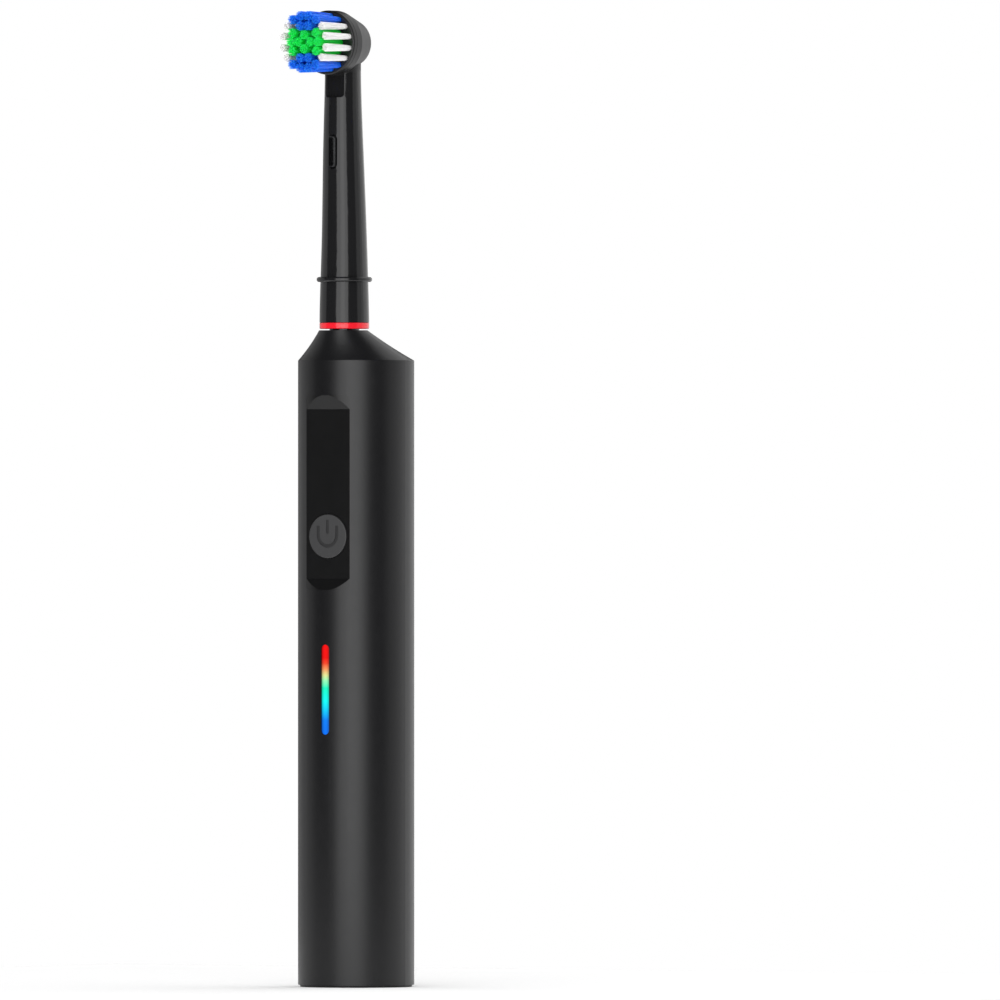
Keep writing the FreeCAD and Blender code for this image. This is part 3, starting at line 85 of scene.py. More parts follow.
# ---------------------------------------------------------------- node graphs
class Sock:
    """A shader or geometry socket that adds Math nodes when it is used in an expression."""

    def __init__(self, graph: "Graph", socket: bpy.types.NodeSocket) -> None:
        """Wraps a socket.

        Args:
            graph: the graph that the socket's node is in.
            socket: the output socket.
        """
        self.graph = graph
        self.socket = socket

    def _math(self, operation: str, first: Any, second: Any) -> "Sock":
        """One Math node on two values."""
        return self.graph.node(self.graph.math_kind, {"operation": operation},
                               {0: first, 1: second}).out()

    def __add__(self, other: Any) -> "Sock":
        """Sum."""
        return self._math("ADD", self, other)

    def __radd__(self, other: Any) -> "Sock":
        """Sum with a number first."""
        return self._math("ADD", other, self)

    def __sub__(self, other: Any) -> "Sock":
        """Difference."""
        return self._math("SUBTRACT", self, other)

    def __rsub__(self, other: Any) -> "Sock":
        """Difference with a number first."""
        return self._math("SUBTRACT", other, self)

    def __mul__(self, other: Any) -> "Sock":
        """Product."""
        return self._math("MULTIPLY", self, other)

    def __rmul__(self, other: Any) -> "Sock":
        """Product with a number first."""
        return self._math("MULTIPLY", other, self)

    def __truediv__(self, other: Any) -> "Sock":
        """Quotient."""
        return self._math("DIVIDE", self, other)

    def __pow__(self, other: Any) -> "Sock":
        """Power."""
        return self._math("POWER", self, other)

    def over(self, limit: float) -> "Sock":
        """1 where the value is above a limit, else 0."""
        return self._math("GREATER_THAN", self, limit)

    def call(self, operation: str) -> "Sock":
        """A Math node that takes one value, such as SINE."""
        return self._math(operation, self, 0.0)


@dataclass
class Made:
    """A node that was just made, with short ways to its output sockets."""

    graph: "Graph"
    node: bpy.types.Node

    def out(self, key: int | str = 0) -> Sock:
        """The output socket with this number or name."""
        return Sock(self.graph, self.node.outputs[key])


class Graph:
    """Builds one node tree."""

    math_kind = "ShaderNodeMath"

    def __init__(self, tree: bpy.types.NodeTree) -> None:
        """Starts on an empty tree.

        Args:
            tree: a shader or geometry node tree.
        """
        self.tree = tree
        tree.nodes.clear()

    def node(self, kind: str, settings: dict[str, Any] | None = None,
             sockets: dict[Any, Any] | None = None) -> Made:
        """Adds a node, sets it up, then fills its input sockets.

        Args:
            kind: the node's type name.
            settings: properties to set first; "stops" fills a colour ramp.
            sockets: values, wrapped sockets or made nodes by input number or name.

        Returns:
            The node that was made.
        """
        made = self.tree.nodes.new(kind)
        for key, value in (settings or {}).items():
            if key == "stops":
                self._fill_ramp(made.color_ramp, value)
            else:
                setattr(made, key, value)
        for key, value in (sockets or {}).items():
            target = made.inputs[key]
            if isinstance(value, Made):
                value = value.out()
            if isinstance(value, Sock):
                self.tree.links.new(value.socket, target)
            else:
                target.default_value = value
        return Made(self, made)

    @staticmethod
    def _fill_ramp(ramp: bpy.types.ColorRamp,
                   stops: Sequence[tuple[float, Sequence[float]]]) -> None:
        """Sets a colour ramp's stops.

        Args:
            ramp: the ramp.
            stops: pairs of position and colour, in rising order.
        """
        while len(ramp.elements) > 1:
            ramp.elements.remove(ramp.elements[-1])
        for index, (place, colour) in enumerate(stops):
            element = ramp.elements[0] if index == 0 else ramp.elements.new(place)
            element.position = place
            element.color = (*colour[:3], 1.0)


# ---------------------------------------------------------------- finishes
class Shader(Graph):
    """A material's graph with one Principled shader and the usual helpers."""

    def __init__(self, name: str, sockets: dict[str, Any]) -> None:
        """Makes the material and its shader.

        Args:
            name: the material's name.
            sockets: constant values of the shader's own sockets.
        """
        self.material = bpy.data.materials.new(name)
        self.material.use_nodes = True
        super().__init__(self.material.node_tree)
        self.shader = self.node("ShaderNodeBsdfPrincipled", {}, sockets)
        self.node("ShaderNodeOutputMaterial", {}, {"Surface": self.shader})

    def place(self) -> Sock:
        """Object coordinates of the surface, in metres."""
        return self.node("ShaderNodeTexCoord").out("Object")

    def noise(self, size: float, detail: float = 2.0, place: Sock | None = None) -> Sock:
        """Smooth noise between 0 and 1.

        Args:
            size: width of one blotch in metres.
            detail: number of finer layers.
            place: coordinates, or None for the object's own.

        Returns:
            The noise value.
        """
        vector = place or self.place()
        made = self.node("ShaderNodeTexNoise", {},
                         {"Vector": vector, "Scale": 1 / size, "Detail": detail})
        return made.out(0)

    def feed(self, name: str, value: Sock) -> None:
        """Links a value into the shader.

        Args:
            name: the shader's input.
            value: what feeds it.
        """
        self.tree.links.new(value.socket, self.shader.node.inputs[name])

    def blend(self, share: Sock, first: Colour, second: Colour) -> Sock:
        """Colour between two colours.

        Args:
            share: 0 for the first colour, 1 for the second.
            first: linear colour.
            second: linear colour.

        Returns:
            The mixed colour.
        """
        settings = {"data_type": "RGBA", "clamp_factor": True}
        made = self.node("ShaderNodeMix", settings,
                         {0: share, 6: (*first, 1.0), 7: (*second, 1.0)})
        return made.out(2)

    def bump(self, height: Sock, depth: float) -> None:
        """Relief on the shader's normal.

        Args:
            height: height between 0 and 1.
            depth: how deep a full step is, in metres.
        """
        made = self.node("ShaderNodeBump", {},
                         {"Height": height, "Distance": depth, "Strength": 1.0})
        self.feed("Normal", made.out("Normal"))


def shade(colour: Colour, factor: float) -> Colour:
    """A colour made darker or lighter by a factor."""
    return colour[0] * factor, colour[1] * factor, colour[2] * factor


@dataclass(frozen=True)
class Plastic:
    """Injection-moulded plastic with mould grain, faint colour drift and rubbed patches."""

    name: str
    colour: Colour
    roughness: float = 0.35
    grain: Grain = Grain.SPARK
    grain_size: float = 0.12 * MM
    grain_depth: float = 0.004 * MM
    coat: float = 0.0
    drift: float = 0.12
    softness: float = 0.0

    def material(self) -> bpy.types.Material:
        """Builds the material.

        Returns:
            The finished material.
        """
        graph = Shader(self.name, {
            "Specular IOR Level": 0.5,
            "Coat Weight": self.coat,
            "Coat Roughness": 0.06,
            "Subsurface Weight": self.softness,
            "Subsurface Radius": (1.0, 0.8, 0.6),
            "Subsurface Scale": 0.5 * MM,
        })
        cloud = graph.noise(9 * MM, 3.0)
        graph.feed("Base Color", graph.blend(cloud, shade(self.colour, 1 - self.drift),
                                             shade(self.colour, 1 + self.drift)))
        smear = graph.noise(2.3 * MM, 4.0)
        graph.feed("Roughness", self.roughness * (0.90 + 0.20 * smear))
        graph.bump(self._relief(graph), self.grain_depth)
        return graph.material

    def _relief(self, graph: Shader) -> Sock:
        """Height of the surface grain."""
        if self.grain is Grain.STIPPLE:
            cells = graph.node("ShaderNodeTexVoronoi", {"feature": "F1"},
                               {"Vector": graph.place(), "Scale": 1 / self.grain_size})
            return 1 - cells.out("Distance")
        if self.grain is Grain.POLISHED:
            return graph.noise(self.grain_size * 12, 2.0)
        return graph.noise(self.grain_size, 3.0)


@dataclass(frozen=True)
class ButtonPlastic:
    """Grey plastic of the power button, with painted shade where the on/off symbol is sunk into
    its face.
    """

    name: str
    colour: Colour
    face_y: float
    painted_shade_level: float = 0.55
    roughness: float = 0.50

    def material(self) -> bpy.types.Material:
        """Builds the material.

        Returns:
            The finished material.
        """
        graph = Shader(self.name, {"Specular IOR Level": 0.5})
        depth = graph.node("ShaderNodeSeparateXYZ", {}, {0: graph.place()}).out("Y") - self.face_y
        # Painted shade: the base colour goes darker where the surface lies 0.03 to 0.10 mm behind
        # the button's face, in the sunk on/off symbol.
        painted_recess_shade = graph.node("ShaderNodeMapRange", {"interpolation_type": "SMOOTHSTEP"},
                          {0: depth, 1: 0.03 * MM, 2: 0.10 * MM, 3: 0.0, 4: 1.0}).out()
        cloud = graph.noise(9 * MM, 3.0)
        face = graph.blend(cloud, shade(self.colour, 0.94), shade(self.colour, 1.06))
        settings = {"data_type": "RGBA", "clamp_factor": True}
        mixed = graph.node("ShaderNodeMix", settings,
                           {0: painted_recess_shade, 6: face, 7: (*shade(self.colour, self.painted_shade_level)[:3], 1.0)})
        graph.feed("Base Color", mixed.out(2))
        graph.feed("Roughness", self.roughness * (0.92 + 0.16 * graph.noise(2.3 * MM, 4.0)))
        graph.bump(graph.noise(0.1 * MM, 3.0), 0.003 * MM)
        return graph.material


@dataclass(frozen=True)
class NeckPlastic:
    """Black plastic of the brush head: polished neck, matt drum round the carrier's pivot."""

    name: str
    colour: Colour
    drum_colour: Colour
    centre: Colour
    reach: float
    polish: float = 0.13
    matt: float = 0.42

    def material(self) -> bpy.types.Material:
        """Builds the material.

        Returns:
            The finished material.
        """
        graph = Shader(self.name, {"Specular IOR Level": 0.5})
        offset = graph.node("ShaderNodeVectorMath", {"operation": "SUBTRACT"},
                            {0: graph.place(), 1: self.centre})
        flat = graph.node("ShaderNodeVectorMath", {"operation": "MULTIPLY"},
                          {0: offset, 1: (1.0, 0.0, 1.0)})
        away = graph.node("ShaderNodeVectorMath", {"operation": "LENGTH"}, {0: flat}).out("Value")
        span = {"interpolation_type": "SMOOTHSTEP"}
        drum = graph.node("ShaderNodeMapRange", span,
                          {0: away, 1: self.reach + 0.5 * MM, 2: self.reach - 0.2 * MM,
                           3: 0.0, 4: 1.0}).out()
        cloud = graph.noise(9 * MM, 3.0)
        polished = graph.blend(cloud, shade(self.colour, 0.88), shade(self.colour, 1.12))
        settings = {"data_type": "RGBA", "clamp_factor": True}
        mixed = graph.node("ShaderNodeMix", settings,
                           {0: drum, 6: polished, 7: (*self.drum_colour, 1.0)})
        graph.feed("Base Color", mixed.out(2))
        smear = graph.noise(2.3 * MM, 4.0)
        graph.feed("Roughness",
                   (self.polish + (self.matt - self.polish) * drum) * (0.90 + 0.20 * smear))
        grain = graph.noise(0.13 * MM, 3.0)
        waves = graph.noise(3.5 * MM, 2.0)
        graph.bump(waves * (1 - drum) + grain * drum, 0.004 * MM)
        return graph.material


@dataclass(frozen=True)
class Metal:
    """Turned, drawn or plated metal with tool lines round or along the Z axis."""

    name: str
    colour: Colour
    roughness: float = 0.28
    line_size: float = 0.08 * MM
    depth: float = 0.002 * MM

    def material(self) -> bpy.types.Material:
        """Builds the material.

        Returns:
            The finished material.
        """
        graph = Shader(self.name, {"Metallic": 1.0, "Anisotropic": 0.3})
        stretch = graph.node("ShaderNodeMapping", {},
                             {"Vector": graph.place(), "Scale": (0.08, 0.08, 1.0)})
        lines = graph.noise(self.line_size, 3.0, stretch.out())
        tarnish = graph.noise(1.6 * MM, 4.0)
        graph.feed("Base Color", graph.blend(tarnish, shade(self.colour, 0.82), self.colour))
        graph.feed("Roughness", self.roughness * (0.75 + 0.5 * lines))
        graph.bump(lines, self.depth)
        return graph.material


@dataclass(frozen=True)
class Winding:
    """Enamelled copper wire laid in close turns round a Z axis, with painted shade in the grooves
    between turns.
    """

    name: str
    colour: Colour
    pitch: float = 0.22 * MM

    def material(self) -> bpy.types.Material:
        """Builds the material.

        Returns:
            The finished material.
        """
        graph = Shader(self.name, {"Metallic": 0.9, "Coat Weight": 0.6, "Coat Roughness": 0.1})
        split = graph.node("ShaderNodeSeparateXYZ", {}, {0: graph.place()})
        height = split.out("Z")
        wire = (height * (math.pi / self.pitch)).call("SINE").call("ABSOLUTE")
        cloud = graph.noise(1.2 * MM, 2.0)
        # Painted shade: the base colour falls to 35% in the grooves between turns, and is also
        # darker where the cloud noise is low.
        graph.feed("Base Color", graph.blend(wire * cloud, shade(self.colour, 0.35), self.colour))
        graph.feed("Roughness", 0.22 + 0.2 * cloud)
        graph.bump(wire, 0.08 * MM)
        return graph.material


@dataclass(frozen=True)
class Board:
    """Glass-fibre board under green lacquer, with copper tracks that shine through."""

    name: str
    lacquer: Colour
    track: Colour
    pitch: float = 1.3 * MM

    def material(self) -> bpy.types.Material:
        """Builds the material.

        Returns:
            The finished material.
        """
        graph = Shader(self.name, {"Coat Weight": 0.5, "Coat Roughness": 0.12})
        split = graph.node("ShaderNodeSeparateXYZ", {}, {0: graph.place()})
        sway = graph.noise(11 * MM, 0.0)
        across = (split.out("X") / self.pitch + sway * 3.0).call("FRACT")
        lines = across.over(0.62)
        broken = graph.noise(6 * MM, 0.0).over(0.48)
        copper = lines * broken
        graph.feed("Base Color", graph.blend(copper, self.lacquer, self.track))
        weave = graph.noise(0.35 * MM, 2.0)
        graph.feed("Roughness", 0.28 + 0.15 * weave)
        graph.bump(copper * 0.8 + weave * 0.2, 0.03 * MM)
        return graph.material


@dataclass(frozen=True)
class Foam:
    """Open-cell foam or rubber with visible pores, with painted shade in the pores."""

    name: str
    colour: Colour
    pore: float = 0.35 * MM

    def material(self) -> bpy.types.Material:
        """Builds the material.

        Returns:
            The finished material.
        """
        graph = Shader(self.name, {"Specular IOR Level": 0.25})
        cells = graph.node("ShaderNodeTexVoronoi", {"feature": "F1"},
                           {"Vector": graph.place(), "Scale": 1 / self.pore})
        depth = cells.out("Distance")
        # Painted shade and light: the base colour runs from half the foam colour at the bottom of
        # each pore to 1.3 times it on the rims between pores.
        graph.feed("Base Color",
                   graph.blend(depth, shade(self.colour, 0.5), shade(self.colour, 1.3)))
        graph.feed("Roughness", 0.75 + 0.2 * depth)
        graph.bump(depth, 0.08 * MM)
        return graph.material


@dataclass(frozen=True)
class Nylon:
    """Dyed nylon filament: slightly see-through, paler towards the rounded tip."""

    name: str
    colour: Colour
    tip: Colour
    root_y: float
    tip_y: float

    def material(self) -> bpy.types.Material:
        """Builds the material.

        Returns:
            The finished material.
        """
        graph = Shader(self.name, {
            "Subsurface Weight": 0.75,
            "Subsurface Radius": (0.4, 0.4, 0.4),
            "Subsurface Scale": 1.5 * MM,
            "Specular IOR Level": 0.5,
        })
        split = graph.node("ShaderNodeSeparateXYZ", {}, {0: graph.place()})
        along = (split.out("Y") - self.root_y) / (self.tip_y - self.root_y)
        strand = graph.noise(0.22 * MM, 1.0)
        near_tip = along.over(0.0) * along ** 3.0
        mixed = graph.blend(near_tip * 0.6 + strand * 0.4, self.colour, self.tip)
        graph.feed("Base Color", mixed)
        graph.feed("Roughness", 0.32 + 0.16 * strand)
        graph.bump(strand, 0.01 * MM)
        return graph.material


@dataclass(frozen=True)
class LitBar:
    """Frosted lens lit from behind by a row of lamps, banded in colour from top to bottom."""

    name: str
    low: float
    high: float
    half_width: float
    strength: float = 1.0

    def material(self) -> bpy.types.Material:
        """Builds the material.

        Returns:
            The finished material.
        """
        graph = Shader(self.name, {
            "Emission Strength": self.strength,
            "Specular IOR Level": 0.15,
        })
        split = graph.node("ShaderNodeSeparateXYZ", {}, {0: graph.place()})
        up = (split.out("Z") - self.low) / (self.high - self.low)
        off_centre = split.out("X") / self.half_width
        stops = [
            (0.00, srgb(2, 112, 246)),
            (0.16, srgb(4, 126, 246)),
            (0.27, srgb(8, 205, 255)),
            (0.37, srgb(8, 252, 248)),
            (0.52, srgb(20, 253, 196)),
            (0.60, srgb(150, 255, 184)),
            (0.66, srgb(226, 230, 150)),
            (0.73, srgb(247, 150, 92)),
            (0.79, srgb(243, 70, 40)),
            (0.85, srgb(244, 8, 6)),
            (1.00, srgb(248, 6, 8)),
        ]
        band = graph.node("ShaderNodeValToRGB", {"stops": stops}, {0: up})
        frost = graph.noise(0.25 * MM, 2.0)
        falloff = 1 - off_centre * off_centre * 0.80
        glow = graph.node("ShaderNodeVectorMath", {"operation": "SCALE"},
                          {0: band.out("Color"), "Scale": falloff * (0.92 + 0.16 * frost)})
        body = graph.node("ShaderNodeVectorMath", {"operation": "SCALE"},
                          {0: band.out("Color"), "Scale": 0.05})
        graph.feed("Emission Color", glow.out())
        graph.feed("Base Color", body.out())
        graph.feed("Roughness", 0.40 + 0.1 * frost)
        graph.bump(frost, 0.004 * MM)
        return graph.material


class Finishes:
    """The finishes of the record's slots, built once each."""

    def __init__(self) -> None:
        """Builds the materials of the record's slots."""
        acetal = srgb(232, 230, 222)
        steel = (0.58, 0.59, 0.61)
        self.slots: dict[str, bpy.types.Material] = {}
        plastics = [
            Plastic("black_plastic", srgb(15, 15, 17), 0.36,
                    grain_size=0.16 * MM, grain_depth=0.0035 * MM),
            Plastic("grip_rubber", srgb(18, 18, 20), 0.46, Grain.STIPPLE, 0.45 * MM, 0.02 * MM),
            Plastic("panel_black", srgb(9, 9, 10), 0.36,
                    grain_size=0.1 * MM, grain_depth=0.004 * MM),
            ButtonPlastic("button_grey", srgb(50, 50, 51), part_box("button_cap")[0].y),
            Plastic("clear_guide", srgb(215, 222, 226), 0.12, Grain.POLISHED, softness=0.5),
            NeckPlastic("neck_black", srgb(22, 22, 23), srgb(27, 27, 28),
                        self._drum_centre(), 7.9 * MM),
            Plastic("carrier_grey", srgb(20, 20, 21), 0.42),
            Plastic("ring_red", srgb(206, 20, 36), 0.18, Grain.POLISHED, coat=0.3, softness=0.2),
            Plastic("frame_grey", srgb(140, 143, 148), 0.45, grain_depth=0.006 * MM),
            Plastic("acetal_white", acetal, 0.35, softness=0.3),
            Plastic("chip_black", srgb(24, 24, 25), 0.6, grain_size=0.06 * MM),
            Plastic("lamp_white", srgb(245, 241, 222), 0.2, Grain.POLISHED,
                    coat=0.5, softness=0.4),
            Plastic("cell_sleeve", srgb(34, 92, 168), 0.25, Grain.POLISHED, coat=0.4),
            Plastic("seal_rubber", srgb(30, 30, 31), 0.62, Grain.STIPPLE, 0.2 * MM, 0.006 * MM),
            Plastic("magnet", srgb(46, 46, 50), 0.55, grain_size=0.2 * MM, grain_depth=0.01 * MM),
        ]
        metals = [
            Metal("steel", steel),
            Metal("plated_can", (0.72, 0.72, 0.71), 0.32),
            Metal("brass", (0.80, 0.62, 0.28), 0.24),
            Metal("bronze", (0.50, 0.33, 0.17), 0.42, 0.15 * MM, 0.006 * MM),
        ]
        others = [
            Winding("copper", (0.78, 0.36, 0.16)),
            Board("board_green", srgb(12, 92, 48), srgb(58, 138, 62)),
            Foam("foam", srgb(70, 70, 72)),
        ]
        for finish in [*plastics, *metals, *others]:
            self.slots[finish.name] = finish.material()

    @staticmethod
    def _drum_centre() -> Colour:
        """Centre of the bristle carrier, which the neck's drum is round."""
        low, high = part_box("bristle_carrier")
        return tuple((low + high) / 2)

    def dress_frame(self) -> None:
        """Gives every CAD node the finish of its record slot."""
        for part in frame["record"]["subparts"]:
            material = self.slots.get(part["material_slot"])
            if material is None:
                continue
            shown = frame["nodes"][part["node"]]
            for slot in shown.material_slots:
                slot.material = material


# ---------------------------------------------------------------- geometry trees
class GeometryTree(Graph):
    """A Geometry Nodes tree with named number inputs."""

    def __init__(self, name: str, inputs: dict[str, float], whole: Iterable[str] = ()) -> None:
        """Makes the tree, its interface and its group input.

        Args:
            name: the tree's name.
            inputs: default value of each number input.
            whole: names of the inputs that are whole numbers.
        """
        super().__init__(bpy.data.node_groups.new(name, "GeometryNodeTree"))
        self.inputs = inputs
        self.sockets: dict[str, str] = {}
        self.tree.interface.new_socket("Geometry", in_out="INPUT",
                                       socket_type="NodeSocketGeometry")
        self.tree.interface.new_socket("Geometry", in_out="OUTPUT",
                                       socket_type="NodeSocketGeometry")
        for key, value in inputs.items():
            kind = "NodeSocketInt" if key in whole else "NodeSocketFloat"
            socket = self.tree.interface.new_socket(key, in_out="INPUT", socket_type=kind)
            socket.default_value = value
            self.sockets[key] = socket.identifier
        self.start = self.node("NodeGroupInput")

    def value(self, key: str) -> Sock:
        """The input with this name."""
        return self.start.out(key)

    def finish(self, geometry: Made | Sock, material: bpy.types.Material) -> None:
        """Ends the tree in Realize Instances and Set Material.

        Args:
            geometry: what the tree makes.
            material: its finish.
        """
        real = self.node("GeometryNodeRealizeInstances", {}, {0: geometry})
        painted = self.node("GeometryNodeSetMaterial", {},
                            {"Geometry": real, "Material": material})
        self.node("NodeGroupOutput", {}, {0: painted})

    def grow(self, name: str, seeds: Iterable[Vector]) -> bpy.types.Object:
        """Runs the tree on a set of points and keeps the result as a plain mesh.

        Args:
            name: the new object's name.
            seeds: the points that the tree starts from.

        Returns:
            The finished object, with no modifier left.
        """
        points = bpy.data.meshes.new(name + "_points")
        points.from_pydata([tuple(p) for p in seeds], [], [])
        carrier = bpy.data.objects.new(name + "_points", points)
        bpy.context.collection.objects.link(carrier)
        modifier = carrier.modifiers.new("grow", "NODES")
        modifier.node_group = self.tree
        for key, value in self.inputs.items():
            modifier[self.sockets[key]] = value
        seen = carrier.evaluated_get(bpy.context.evaluated_depsgraph_get())
        mesh = bpy.data.meshes.new_from_object(seen)
        carrier.modifiers.remove(modifier)
        bpy.data.objects.remove(carrier)
        mesh.name = name
        piece = bpy.data.objects.new(name, mesh)
        bpy.context.collection.objects.link(piece)
        return piece


# ---------------------------------------------------------------- bristles
@dataclass(frozen=True)
class TuftSet:
    """Tufts of one colour: the CAD node that they stand for, their colour and their places."""

    node: str
    slot: str
    colour: Colour
    tip: Colour
    seed: int
    flare: float = 1.18


@dataclass
class Bristles:
    """Filaments of the round brush, grown on the bristle carrier where the CAD tufts stand."""

    filaments: int = 56
    filament_radius: float = 0.085 * MM
    sink: float = 0.6 * MM
    waist: float = 0.86
    sets: list[TuftSet] = field(default_factory=lambda: [
        TuftSet("tufts_blue", "nylon_blue", srgb(4, 90, 252), srgb(20, 116, 255), 3),
        TuftSet("tufts_green", "nylon_green", srgb(2, 242, 52), srgb(24, 255, 94), 5),
        TuftSet("tufts_white", "nylon_white", srgb(250, 248, 247), srgb(255, 254, 253), 7, 1.0),
    ])

    def build(self) -> None:
        """Makes the three sets of filaments and lets them ride on the carrier."""
        for tufts in self.sets:
            self._grow(tufts)
            LOG.info("filaments of %s", tufts.node)

    def _grow(self, tufts: TuftSet) -> None:
        """Grows the filaments of one colour.

        Args:
            tufts: the set of tufts.
        """
        roots, root_r, tip_r, face_y, tip_y = self._roots(tufts.node)
        length = face_y - tip_y
        finish = Nylon(tufts.slot, tufts.colour, tufts.tip, face_y, tip_y).material()
        tree = self._tree(tufts, finish, root_r * self.waist - self.filament_radius,
                          tip_r * tufts.flare - self.filament_radius, length)
        piece = tree.grow(tufts.node.replace("tufts", "filaments"), roots)
        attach(piece, "carrier")
        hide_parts(tufts.node)

    def _tree(self, tufts: TuftSet, finish: bpy.types.Material, root_r: float, tip_r: float,
              length: float) -> GeometryTree:
        """Tree that puts a sunflower spiral of flaring filaments on every root point.

        Args:
            tufts: the set of tufts.
            finish: the filaments' finish.
            root_r: radius of the outermost filament's axis at the root.
            tip_r: the same at the tip.
            length: length of the longest filament above the disc's face.

        Returns:
            The finished tree.
        """
        tree = GeometryTree(tufts.node + "_tree", {
            "Filaments": self.filaments,
            "Root radius": root_r,
            "Tip radius": tip_r,
            "Length": length,
            "Sink": self.sink,
            "Thickness": self.filament_radius,
            "Seed": tufts.seed,
        }, ("Filaments", "Seed"))
        count = tree.value("Filaments")
        doubled = tree.node("GeometryNodeDuplicateElements", {"domain": "POINT"},
                            {"Geometry": tree.start, "Amount": count})
        index = doubled.out("Duplicate Index")
        share = ((index + 0.5) / count) ** 0.5
        spin = index * math.radians(137.508)
        tuft = (tree.node("GeometryNodeInputIndex").out() / count).call("FLOOR")
        turn = tree.node("FunctionNodeRandomValue", {"data_type": "FLOAT"},
                         {2: 0.0, 3: 2 * math.pi, "ID": tuft, "Seed": tree.value("Seed")}).out(1)
        angle = spin + turn
        jitter = self._random(tree, -0.5, 0.5, 11)
        reach = self._random(tree, 0.965, 0.999, 12)
        stray = self._random(tree, 0.0, 1.0, 13)
        side, up = angle.call("COSINE"), angle.call("SINE")
        return self._strands(tree, doubled, finish, (share, side, up, jitter, reach, stray))

    @staticmethod
    def _random(tree: GeometryTree, low: float, high: float, offset: int) -> Sock:
        """A random number for each filament, from the tree's seed."""
        return tree.node("FunctionNodeRandomValue", {"data_type": "FLOAT"},
                         {2: low, 3: high, "ID": tree.node("GeometryNodeInputIndex"),
                          "Seed": tree.value("Seed") + offset}).out(1)

    def _strands(self, tree: GeometryTree, doubled: Made, finish: bpy.types.Material,
                 shape: tuple[Sock, ...]) -> GeometryTree:
        """Second half of the tree: one bent, round-tipped strand at each spiral place.

        Args:
            tree: the tree so far.
            doubled: the root points, one for each filament.
            finish: the filaments' finish.
            shape: each filament's share of the radius, two directions, jitter, reach and stray.

        Returns:
            The finished tree.
        """
        share, side, up, jitter, reach, stray = shape
        stored = doubled
        values = {"share": share, "side": side, "up": up,
                  "jitter": jitter, "reach": reach, "stray": stray}
        for key, value in values.items():
            stored = tree.node("GeometryNodeStoreNamedAttribute",
                               {"data_type": "FLOAT", "domain": "POINT"},
                               {"Geometry": stored, "Name": key, "Value": value})
        line = tree.node("GeometryNodeCurvePrimitiveLine", {},
                         {0: (0.0, 0.0, 0.0), 1: (0.0, -1.0, 0.0)})
        fine = tree.node("GeometryNodeResampleCurve", {}, {"Curve": line, "Count": 6})
        placed = tree.node("GeometryNodeInstanceOnPoints", {},
                           {"Points": stored, "Instance": fine})
        loose = tree.node("GeometryNodeRealizeInstances", {}, {0: placed})
        kept = {key: tree.node("GeometryNodeInputNamedAttribute", {"data_type": "FLOAT"},
                               {"Name": key}).out()
                for key in values}
        along = tree.node("GeometryNodeSplineParameter").out("Factor")
        spread = tree.value("Tip radius") - tree.value("Root radius")
        flare = tree.value("Root radius") + spread * along ** 0.8
        radius = flare * kept["share"] * (1 + 0.05 * kept["jitter"] * along)
        depth = (along * (tree.value("Length") * kept["reach"] + tree.value("Sink"))
                 - tree.value("Sink"))
        wander = along * along * self.filament_radius * 0.8
        move = tree.node("ShaderNodeCombineXYZ", {}, {
            "X": radius * kept["side"] + wander * kept["jitter"],
            "Y": along - depth,
            "Z": radius * kept["up"] + wander * (kept["stray"] - 0.5),
        })
        bent = tree.node("GeometryNodeSetPosition", {}, {"Geometry": loose, "Offset": move})
        tip = 1 - ((along - 0.9) / 0.1).call("ABSOLUTE") * along.over(0.91) * 0.55
        thick = tree.node("GeometryNodeSetCurveRadius", {}, {"Curve": bent, "Radius": tip})
        outline = tree.node("GeometryNodeCurvePrimitiveCircle", {}, {"Resolution": 5})
        scaled = tree.node("GeometryNodeTransform", {}, {
            "Geometry": outline,
            "Scale": tree.node("ShaderNodeCombineXYZ", {},
                               {key: tree.value("Thickness") for key in "XYZ"}),
        })
        skin = tree.node("GeometryNodeCurveToMesh", {},
                         {"Curve": thick, "Profile Curve": scaled, "Fill Caps": True})
        smooth = tree.node("GeometryNodeSetShadeSmooth", {},
                           {"Geometry": skin, "Shade Smooth": True})
        tree.finish(smooth, finish)
        return tree

    @staticmethod
    def _roots(node: str) -> tuple[list[Vector], float, float, float, float]:
        """Reads the tufts of a CAD node.

        Args:
            node: the CAD node's name.

        Returns:
            Root centres on the disc's face, root radius, tip radius, face y and tip y.
        """
        mesh = bmesh.new()
        mesh.from_mesh(frame["nodes"][node].data)
        bmesh.ops.remove_doubles(mesh, verts=mesh.verts, dist=1e-6)
        face_y, tip_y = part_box("bristle_carrier")[0].y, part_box(node)[0].y
        centres: list[Vector] = []
        root_r, tip_r = 0.0, 0.0
        left = set(mesh.verts)
        while left:
            island, edge = [], [left.pop()]
            while edge:
                vert = edge.pop()
                island.append(vert.co.copy())
                near = {link.other_vert(vert) for link in vert.link_edges} & left
                left -= near
                edge.extend(near)
            rear = [co for co in island if co.y > face_y + 0.1 * MM]
            middle = [(min(co[i] for co in rear) + max(co[i] for co in rear)) / 2
                      for i in range(3)]
            root_r = max(root_r, *(math.hypot(co.x - middle[0], co.z - middle[2]) for co in rear))
            tip_r = max(tip_r, *(math.hypot(co.x - middle[0], co.z - middle[2])
                                 for co in island if co.y < tip_y + 0.1 * MM))
            centres.append(Vector((middle[0], face_y, middle[2])))
        mesh.free()
        centres.sort(key=lambda c: (round(c.z, 5), round(c.x, 5)))
        return centres, root_r, tip_r, face_y, tip_y


